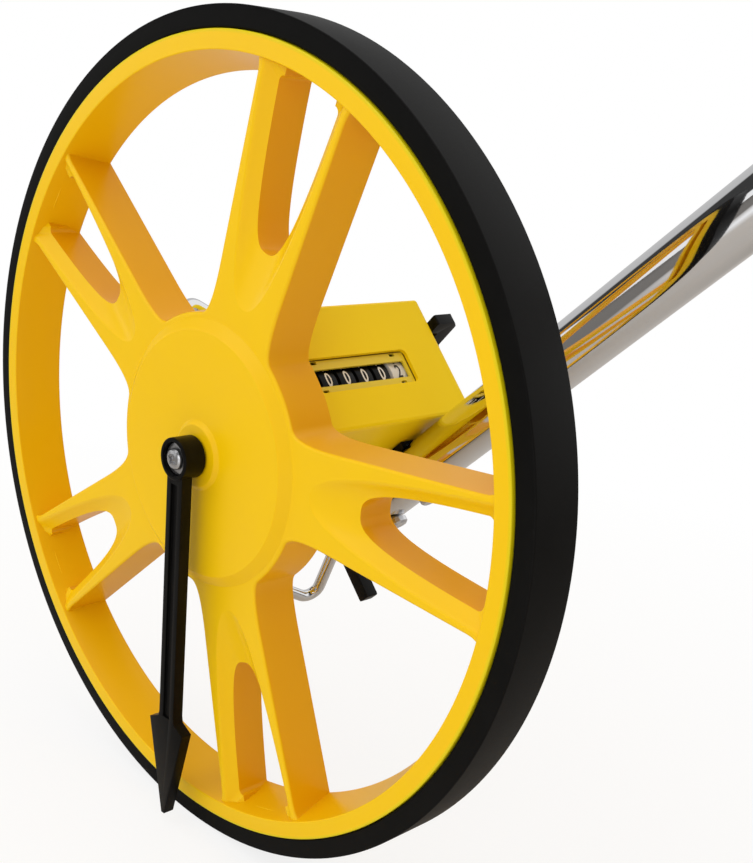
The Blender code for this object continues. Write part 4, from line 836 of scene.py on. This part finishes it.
class MEASURING_WHEEL_OT_wheel(bpy.types.Operator):
    """Builds the moulded wheel with its five forked spokes"""
    bl_idname = "measuring_wheel.wheel"
    bl_label = "Wheel"

    def execute(self, context):
        chosen = context.scene.mw_wheel
        edge = chosen.mould_round
        star = rounded_prism(star_outline(chosen.spoke_root, chosen.spoke_tip), SPOKE_FRONT,
                             SPOKE_FRONT + SPOKE_DEPTH, edge, 0.0011)
        angles = [SPOKE_PHASE + k * math.tau / SPOKE_COUNT for k in range(SPOKE_COUNT)]
        changes = [("UNION", star)]
        changes += [("DIFFERENCE", hollow_shape(angle, edge)) for angle in angles]
        changes += [("DIFFERENCE", rib_pocket(k)) for k in range(SPOKE_COUNT)]
        hub = bmesh.new()
        hub.from_mesh(combined(hub_shape(), changes))
        bore = rod(0.0053, -0.008, 0.024, 64)
        keyway = prism(rectangle(-0.0018, 0.0018, 0.0, 0.0063), 0.004, 0.024)
        mesh = combined(rim_shape(chosen.steps), [("UNION", hub), ("DIFFERENCE", bore),
                                                  ("DIFFERENCE", keyway)])
        even_shading(piece("wheel_moulding", mesh, WHEEL_FRAME, "wheel_plastic", "wheel", "wheel",
                           sharp=34.0))
        return {"FINISHED"}


def cross_recess(radius, depth, top):
    """A tapered cross that cuts a screw's head from the -Y side."""
    rows = []
    for level, scale in ((-0.001, 1.06), (depth, 0.78)):
        arm = radius * 0.62 * scale
        half = radius * 0.13 * scale
        fillet = half * 1.3
        quarter = [(arm, half), (fillet, fillet), (half, arm)]
        outline = quarter + [(-x, z) for x, z in reversed(quarter)]
        outline += [(x, -z) for x, z in reversed(outline)]
        rows.append([(x, top + level, z) for x, z in outline])
    return lofted(rows)


def pan_screw(radius, height, shank, length):
    """A cross-recess pan-head screw along Y with its head to -Y."""
    profile = [(0.0, -height), (radius * 0.5, -height * 0.95), (radius * 0.80, -height * 0.78),
               (radius * 0.95, -height * 0.45), (radius, 0.0), (shank, 0.0),
               (shank, length - shank), (shank * 0.5, length), (0.0, length)]
    head = turned(filleted(profile, height * 0.18, 3), 48)
    return combined(head, [("DIFFERENCE", cross_recess(radius, height * 0.5, -height))])


class MEASURING_WHEEL_OT_pointer(bpy.types.Operator):
    """Builds the hanging pointer with its washer and screw"""
    bl_idname = "measuring_wheel.pointer"
    bl_label = "Pointer"

    def execute(self, context):
        half = 0.0048
        head = 0.0112
        side = [(half, 0.0), (half, -0.1085), (half * 1.12, -0.1112), (head, -0.1140),
                (0.0010, -0.1550)]
        blade = prism(side + [(-x, z) for x, z in reversed(side)], -0.0129, -0.0081)
        boss = turned(filleted(rectangle(0.0, 0.0082, -0.0140, -0.0046), 0.0006, 4), 96)
        groove = prism([(-0.0021, -0.0102), (-0.0021, -0.1100), (0.0021, -0.1100),
                        (0.0021, -0.0102)], -0.016, -0.0118)
        recess = rod(0.0066, -0.018, -0.0109, 96)
        bore = rod(0.0043, -0.018, 0.0, 64)
        mesh = combined(boss, [("UNION", blade), ("DIFFERENCE", groove), ("DIFFERENCE", recess),
                               ("DIFFERENCE", bore)], SMALL_EDGE)
        piece("pointer_blade", mesh, WHEEL_FRAME, "black_plastic", "pointer", "pointer_arm")
        washer = filleted(rectangle(0.0023, 0.0061, -0.0123, -0.0115), 0.0002, 2, closed=True)
        piece("pointer_disc_washer", turned(washer, 64, closed=True), WHEEL_FRAME, "zinc_plate",
              "wheel", "pointer_washer")
        screw_frame = (WHEEL_FRAME @ Matrix.Translation((0.0, -0.0126, 0.0))
                       @ Matrix.Rotation(0.5, 4, "Y"))
        piece("pointer_cross_screw", pan_screw(0.0043, 0.0020, 0.0020, 0.0140), screw_frame,
              "zinc_plate", "wheel", "pointer_screw")
        return {"FINISHED"}


# Counter pieces

def figure_shape(text, height):
    """A flat, narrow figure as a mesh, upright in X and Y, middle at the origin."""
    curve = bpy.data.curves.new("figure", "FONT")
    curve.body = text
    curve.size = height * 1.38
    curve.align_x = "CENTER"
    curve.align_y = "CENTER"
    curve.resolution_u = 3
    curve.offset = height * 0.020
    guide = linked("figure", curve)
    mesh = evaluated(guide)
    bpy.data.objects.remove(guide, do_unlink=True)
    low = min(vertex.co.y for vertex in mesh.vertices)
    high = max(vertex.co.y for vertex in mesh.vertices)
    for vertex in mesh.vertices:
        vertex.co.y -= (low + high) / 2
        vertex.co.x *= 0.70
    return mesh


def wrap_figure(shape, mesh, angle, rise):
    """Adds a figure to a drum's shape: its X along the drum and its Y round it, at an angle."""
    flat = bmesh.new()
    flat.from_mesh(mesh)
    bmesh.ops.triangulate(flat, faces=flat.faces)
    radius = DRUM_RADIUS + rise
    made = {}
    for vertex in flat.verts:
        turn = vertex.co.y / DRUM_RADIUS - angle
        made[vertex.index] = shape.verts.new((radius * math.cos(turn), vertex.co.x,
                                              radius * math.sin(turn)))
    for face in flat.faces:
        new_face = shape.faces.new([made[vertex.index] for vertex in face.verts])
        new_face.material_index = 1
        middle = new_face.calc_center_median()
        if new_face.normal.dot(Vector((middle.x, 0.0, middle.z))) < 0.0:
            new_face.normal_flip()
    flat.free()


class MEASURING_WHEEL_OT_drums(bpy.types.Operator):
    """Builds the six figure drums of the counter"""
    bl_idname = "measuring_wheel.drums"
    bl_label = "Drums"

    def execute(self, context):
        chosen = context.scene.mw_counter
        figures = [figure_shape(str(k), chosen.figure_height) for k in range(10)]
        face = DRUM_RADIUS - 0.0001
        step = DRUM_HALF - 0.0003
        profile = [(0.0020, -DRUM_HALF), (0.0092, -DRUM_HALF), (0.0095, -step), (face, -step),
                   (face, step), (0.0095, step), (0.0092, DRUM_HALF), (0.0020, DRUM_HALF)]
        profile = filleted(profile, 0.00025, 2, closed=True, keep=(0, 7))
        for k, (y, shown) in enumerate(zip(DRUM_PLACES, SHOWN_FIGURES)):
            shape = turned(profile, 120, closed=True)
            for figure, mesh in enumerate(figures):
                wrap_figure(shape, mesh, (figure - shown) * math.tau / 10, chosen.figure_rise)
            # The last drum has its colours the other way round.
            last = k == len(DRUM_PLACES) - 1
            slot, ink = ("white_plastic", "black_ink") if last else ("black_plastic", "white_ink")
            piece("figure_drum_%d" % (k + 1), shape,
                  DRUM_FRAME @ Matrix.Translation((0.0, y, 0.0)), slot, "drum_%d" % (k + 1),
                  "digit_drum_%d" % (k + 1), inks=(ink,))
        for mesh in figures:
            bpy.data.meshes.remove(mesh)
        return {"FINISHED"}


class MEASURING_WHEEL_OT_lever(bpy.types.Operator):
    """Builds the reset lever"""
    bl_idname = "measuring_wheel.lever"
    bl_label = "Reset lever"

    def execute(self, context):
        x, z = 0.020, 0.0117
        near, far = 0.112, 0.120
        tip = 0.0448
        hook = filleted([(0.0240, near), (0.0385, near), (0.0385, 0.1072), (tip, 0.1072),
                         (tip, 0.1176), (0.0424, far), (0.0240, far)], 0.0011, 3, closed=True)
        hook = lofted([[(u, v, 0.0221 + rise - 0.1 * (tip - u)) for u, v in hook]
                       for rise in (0.0, 0.0046)])
        arm = prism([(x - 0.0064, z + 0.0022), (0.0226, 0.0240), (0.0300, 0.0247),
                     (0.0300, 0.0212), (x + 0.0066, z - 0.0020)], 0.1123, 0.1197)
        boss = rod(0.0070, near, far, 64, x, z)
        bore = rod(0.0033, 0.10, 0.13, 48, x, z)
        mesh = combined(boss, [("UNION", arm), ("UNION", hook), ("DIFFERENCE", bore)], 0.00045)
        piece("reset_hooked_lever", mesh, HANDLE_FRAME, "black_plastic", "reset", "reset_lever")
        return {"FINISHED"}


# Handle pieces

# Each tube's name, CAD node, start and end along the handle, and body.
TUBES = (("lower_chrome_tube", "lower_tube", -0.024, 0.4697, "handle"),
         ("upper_chrome_tube", "upper_tube", 0.4703, 0.9277, "upper_handle"))


class MEASURING_WHEEL_OT_tubes(bpy.types.Operator):
    """Builds the two chrome tubes of the handle"""
    bl_idname = "measuring_wheel.tubes"
    bl_label = "Tubes"

    def execute(self, context):
        steps = context.scene.mw_handle.round_steps
        for name, node, start, end, body in TUBES:
            profile = filleted(rectangle(TUBE_RADIUS - 0.0014, TUBE_RADIUS, start, end), 0.0003, 3,
                               closed=True)
            piece(name, turned(profile, steps, closed=True), TUBE_FRAME @ ALONG_X, "chrome_plate",
                  body, node)
        return {"FINISHED"}


class MEASURING_WHEEL_OT_end_block(bpy.types.Operator):
    """Builds the black block in the tube's lower end, with its tab"""
    bl_idname = "measuring_wheel.end_block"
    bl_label = "End block"

    def execute(self, context):
        end = -0.0485
        shoulder = -0.0243
        plug_end = -0.0150
        plug = TUBE_RADIUS - 0.0017
        profile = [(0.0, end), (TUBE_RADIUS, end), (TUBE_RADIUS, shoulder), (plug, shoulder),
                   (plug, plug_end), (0.0, plug_end)]
        block = turned(filleted(profile, 0.0016, 4), context.scene.mw_handle.round_steps)
        bmesh.ops.transform(block, verts=block.verts, matrix=TUBE_PLACE @ ALONG_X)
        flat = prism(rectangle(-0.060, -0.0246, -0.055, 0.0), 0.0866, 0.1100)
        tab = filleted(rectangle(-0.0417, -0.0357, -0.0640, -0.0275), 0.0010, 3, closed=True)
        tab = prism(tab, 0.0799, 0.0859)
        hole = rod(0.00305, 0.060, 0.110, 48, -0.0431, -0.0290)
        mesh = combined(block, [("DIFFERENCE", flat), ("UNION", tab), ("DIFFERENCE", hole)],
                        SMALL_EDGE)
        piece("tabbed_end_block", mesh, HANDLE_FRAME, "black_plastic", "handle", "tube_end_block")
        return {"FINISHED"}


class MEASURING_WHEEL_OT_stand(bpy.types.Operator):
    """Builds the bent wire stand"""
    bl_idname = "measuring_wheel.stand"
    bl_label = "Stand"

    def execute(self, context):
        radius = context.scene.mw_handle.wire_radius
        corners = [(-0.0431, 0.0724, -0.029), (-0.0431, 0.0902, -0.029),
                   (-0.0829, 0.0902, -0.0476), (-0.061, 0.0272, -0.0243),
                   (-0.0063, 0.0272, 0.0748), (-0.031, 0.098, 0.0478)]
        # The first bend, in the end block, is the tightest.
        first = bent_path(corners[:3], radius * 1.25, 10)
        rest = bent_path(corners[1:], 0.006, 16)
        piece("stand_wire", round_wire(first[:-1] + rest[1:], radius), HANDLE_FRAME,
              "chrome_plate", "stand", "kickstand", sharp=50.0)
        return {"FINISHED"}


class MEASURING_WHEEL_OT_grip(bpy.types.Operator):
    """Builds the ribbed rubber grip"""
    bl_idname = "measuring_wheel.grip"
    bl_label = "Grip"

    def execute(self, context):
        chosen = context.scene.mw_handle
        top = 0.932
        length = 0.128
        wall = 0.004
        radius = 0.0165
        rise = 0.0011
        start = top - length
        bore = TUBE_RADIUS + 0.0003
        profile = [(bore, start), (radius - rise, start)]
        pitch = (length - 2 * wall) / chosen.grip_ribs
        for k in range(chosen.grip_ribs):
            rib = start + wall + k * pitch
            for along, lift in ((0.12, -1.0), (0.32, 0.0), (0.8, 0.0)):
                profile.append((radius + lift * rise, rib + along * pitch))
        profile += [(radius - rise, top - wall), (radius * 0.8, top), (0.0, top)]
        profile = filleted(profile, 0.0009, 4) + [(0.0, top - wall), (bore, top - wall)]
        piece("ribbed_grip", turned(profile, chosen.round_steps, closed=True),
              TUBE_FRAME @ ALONG_X, "grip_rubber", "upper_handle", "grip", sharp=50.0)
        return {"FINISHED"}


# CAD pieces whose finish isn't the one of their material slot.
CARRIED = {"counter_plate": "plate_paint"}


class MEASURING_WHEEL_OT_carried(bpy.types.Operator):
    """Gives the carried-over CAD pieces their finishes"""
    bl_idname = "measuring_wheel.carried"
    bl_label = "Carried pieces"

    def execute(self, context):
        for part in frame["record"]["subparts"]:
            node = frame["nodes"][part["node"]]
            if node.hide_render:
                continue
            finish = CARRIED.get(part["node"], part["material_slot"])
            node.data.materials.clear()
            node.data.materials.append(FINISHES[finish])
            smooth(node.data)
            even_shading(node)
        return {"FINISHED"}


# Stage

def background_rays(finish):
    """Masks of the rays that show the white background: straight or through glass, and mirrored."""
    camera = finish.node("ShaderNodeLightPath", output="Is Camera Ray")
    through, gloss = finish.outputs(camera, "Is Transmission Ray", "Is Glossy Ray")
    return camera.math("MAXIMUM", through), gloss


class MEASURING_WHEEL_OT_stage(bpy.types.Operator):
    """Builds the floor, lamps, world and camera"""
    bl_idname = "measuring_wheel.stage"
    bl_label = "Stage"

    def execute(self, context):
        chosen = context.scene.mw_stage
        self.floor(chosen)
        self.lamp("key_lamp", (-0.9, -1.7, 1.5), 1.6, chosen.key_power)
        self.lamp("side_lamp", (1.25, -1.55, 0.9), 1.2, chosen.side_power)
        self.lamp("top_lamp", (0.1, -0.2, 2.0), 1.2, chosen.top_power)
        self.world(chosen)
        self.camera(chosen)
        context.scene.view_settings.view_transform = "Standard"
        return {"FINISHED"}

    def floor(self, chosen):
        finish = Finish("pale_floor")
        x, y, _ = finish.axes(finish.place())
        reach = (x * x + y * y) ** 0.5
        grain = finish.noise(60.0, 3.0, 0.5)
        pale = finish.mix(grain * 0.2, grey(0.88), grey(0.91))
        straight, gloss = background_rays(finish)
        # In gloss the floor is grey near the object, dark at the left front and at the right
        # back, and white at the right front and far off at the left back.
        left = x.step(0.10, -0.05)
        left_front = y.step(0.0, -0.35) * left
        right_back = y.step(0.1, 0.4) * x.step(0.1, 0.4)
        dim = gloss * (0.42 + 0.45 * left_front + 0.45 * right_back)
        finish.shade(Base_Color=finish.mix(dim, pale, grey(0.08)), Roughness=0.9,
                     Specular_IOR_Level=0.1)
        light = finish.node("ShaderNodeEmission", None, {"Color": grey(1.0), "Strength": 1.0})
        far = reach.step(0.5, 1.5) * y.step(-0.3, 0.2) * x.step(0.3, -0.3) * 0.6
        front = y.step(-0.25, -0.40) * (1.0 - left)
        white = chosen.floor_white + reach.step(0.2, 0.6) * (1.0 - chosen.floor_white)
        share = (white * straight).math("MAXIMUM", far.math("MAXIMUM", front) * gloss)
        surface = Link(finish, finish.shader.outputs[0])
        finish.surface(finish.node("ShaderNodeMixShader", None, {0: share, 1: surface, 2: light}))
        shape = bmesh.new()
        bmesh.ops.create_circle(shape, cap_ends=True, radius=chosen.floor_radius, segments=96)
        item = linked("floor", frozen("floor", shape))
        item.data.materials.append(finish.owner)
        item.location.z = -0.0002

    def lamp(self, name, place_at, size, power):
        light = bpy.data.lights.new(name, "AREA")
        light.shape = "DISK"
        light.size = size
        light.energy = power
        item = linked(name, light)
        item.location = place_at
        aim = Vector((0.05, 0.02, 0.15)) - Vector(place_at)
        item.rotation_euler = aim.to_track_quat("-Z", "Y").to_euler()

    def world(self, chosen):
        finish = Finish("studio", "worlds")
        bpy.context.scene.world = finish.owner
        x, y, z = finish.axes(finish.node("ShaderNodeTexCoord"))
        even = chosen.ambient * (0.74 - 0.46 * x - 0.18 * y + 0.62 * z).math("MAXIMUM", 0.12)
        warm = (x + 0.8 * y).step(-0.05, 0.7)
        # In gloss the room behind the camera is dim, as a studio is. Its left is grey at the
        # back, and has a dark band over a white one at the front.
        room = 0.62 * x - 0.72 * y + 0.20 * z
        shown = 1.0 - room.step(0.30, 0.60) * (1.0 - chosen.room)
        left = x.step(-0.20, -0.34)
        front = y.step(0.06, -0.06)
        grey_back = 1.0 - left * 0.40 * (1.0 - front)
        dark_band = 1.0 - left * front * z.step(0.11, 0.14) * 0.95
        straight, gloss = background_rays(finish)
        seen = straight.math("MAXIMUM", gloss)
        strength = even + ((shown * grey_back * dark_band).math("MAXIMUM", straight) - even) * seen
        color = finish.mix(warm * (1.0 - seen), grey(1.0), (1.0, 0.70, 0.36))
        finish.surface(finish.node("ShaderNodeBackground", None,
                                   {"Color": color, "Strength": strength}))

    def camera(self, chosen):
        camera = bpy.data.cameras.new("camera")
        camera.lens = chosen.lens
        camera.sensor_width = 36.0
        camera.sensor_fit = "AUTO"
        camera.shift_x = 0.05676
        camera.shift_y = 0.11283
        camera.clip_start = 0.01
        camera.clip_end = 100.0
        camera.dof.use_dof = False
        item = linked("camera", camera)
        right = Vector((0.67062956, 0.73768447, 0.07795901))
        up = Vector((-0.29843347, 0.17209446, 0.93878696))
        back = Vector((0.67911225, -0.65284387, 0.33556137))
        turn = Matrix((right, up, back)).transposed().to_4x4()
        item.matrix_world = Matrix.Translation((0.346998, -0.274591, 0.287334)) @ turn
        bpy.context.scene.camera = item


OPERATORS = (MEASURING_WHEEL_OT_tyre, MEASURING_WHEEL_OT_wheel, MEASURING_WHEEL_OT_pointer,
             MEASURING_WHEEL_OT_drums, MEASURING_WHEEL_OT_lever, MEASURING_WHEEL_OT_tubes,
             MEASURING_WHEEL_OT_end_block, MEASURING_WHEEL_OT_stand, MEASURING_WHEEL_OT_grip,
             MEASURING_WHEEL_OT_carried, MEASURING_WHEEL_OT_stage)


class MEASURING_WHEEL_PT_build(bpy.types.Panel):
    """Lists the steps that build the measuring wheel"""
    bl_idname = "MEASURING_WHEEL_PT_build"
    bl_label = "Measuring wheel"
    bl_space_type = "VIEW_3D"
    bl_region_type = "UI"
    bl_category = "Measuring wheel"

    def draw(self, context):
        for kind in OPERATORS:
            self.layout.operator(kind.bl_idname)
        for name, group in zip(SETTING_NAMES, SETTING_GROUPS):
            box = self.layout.box()
            box.label(text=group.__doc__)
            for field in group.__annotations__:
                box.prop(getattr(context.scene, name), field)


CLASSES = SETTING_GROUPS + OPERATORS + (MEASURING_WHEEL_PT_build,)


def register():
    for kind in CLASSES:
        bpy.utils.register_class(kind)
    for name, group in zip(SETTING_NAMES, SETTING_GROUPS):
        setattr(bpy.types.Scene, name, PointerProperty(type=group))


def unregister():
    for name in SETTING_NAMES:
        delattr(bpy.types.Scene, name)
    for kind in reversed(CLASSES):
        bpy.utils.unregister_class(kind)


def main():
    register()
    make_finishes()
    for kind in OPERATORS:
        category, name = kind.bl_idname.split(".")
        getattr(getattr(bpy.ops, category), name)()


if __name__ == "__main__":
    main()
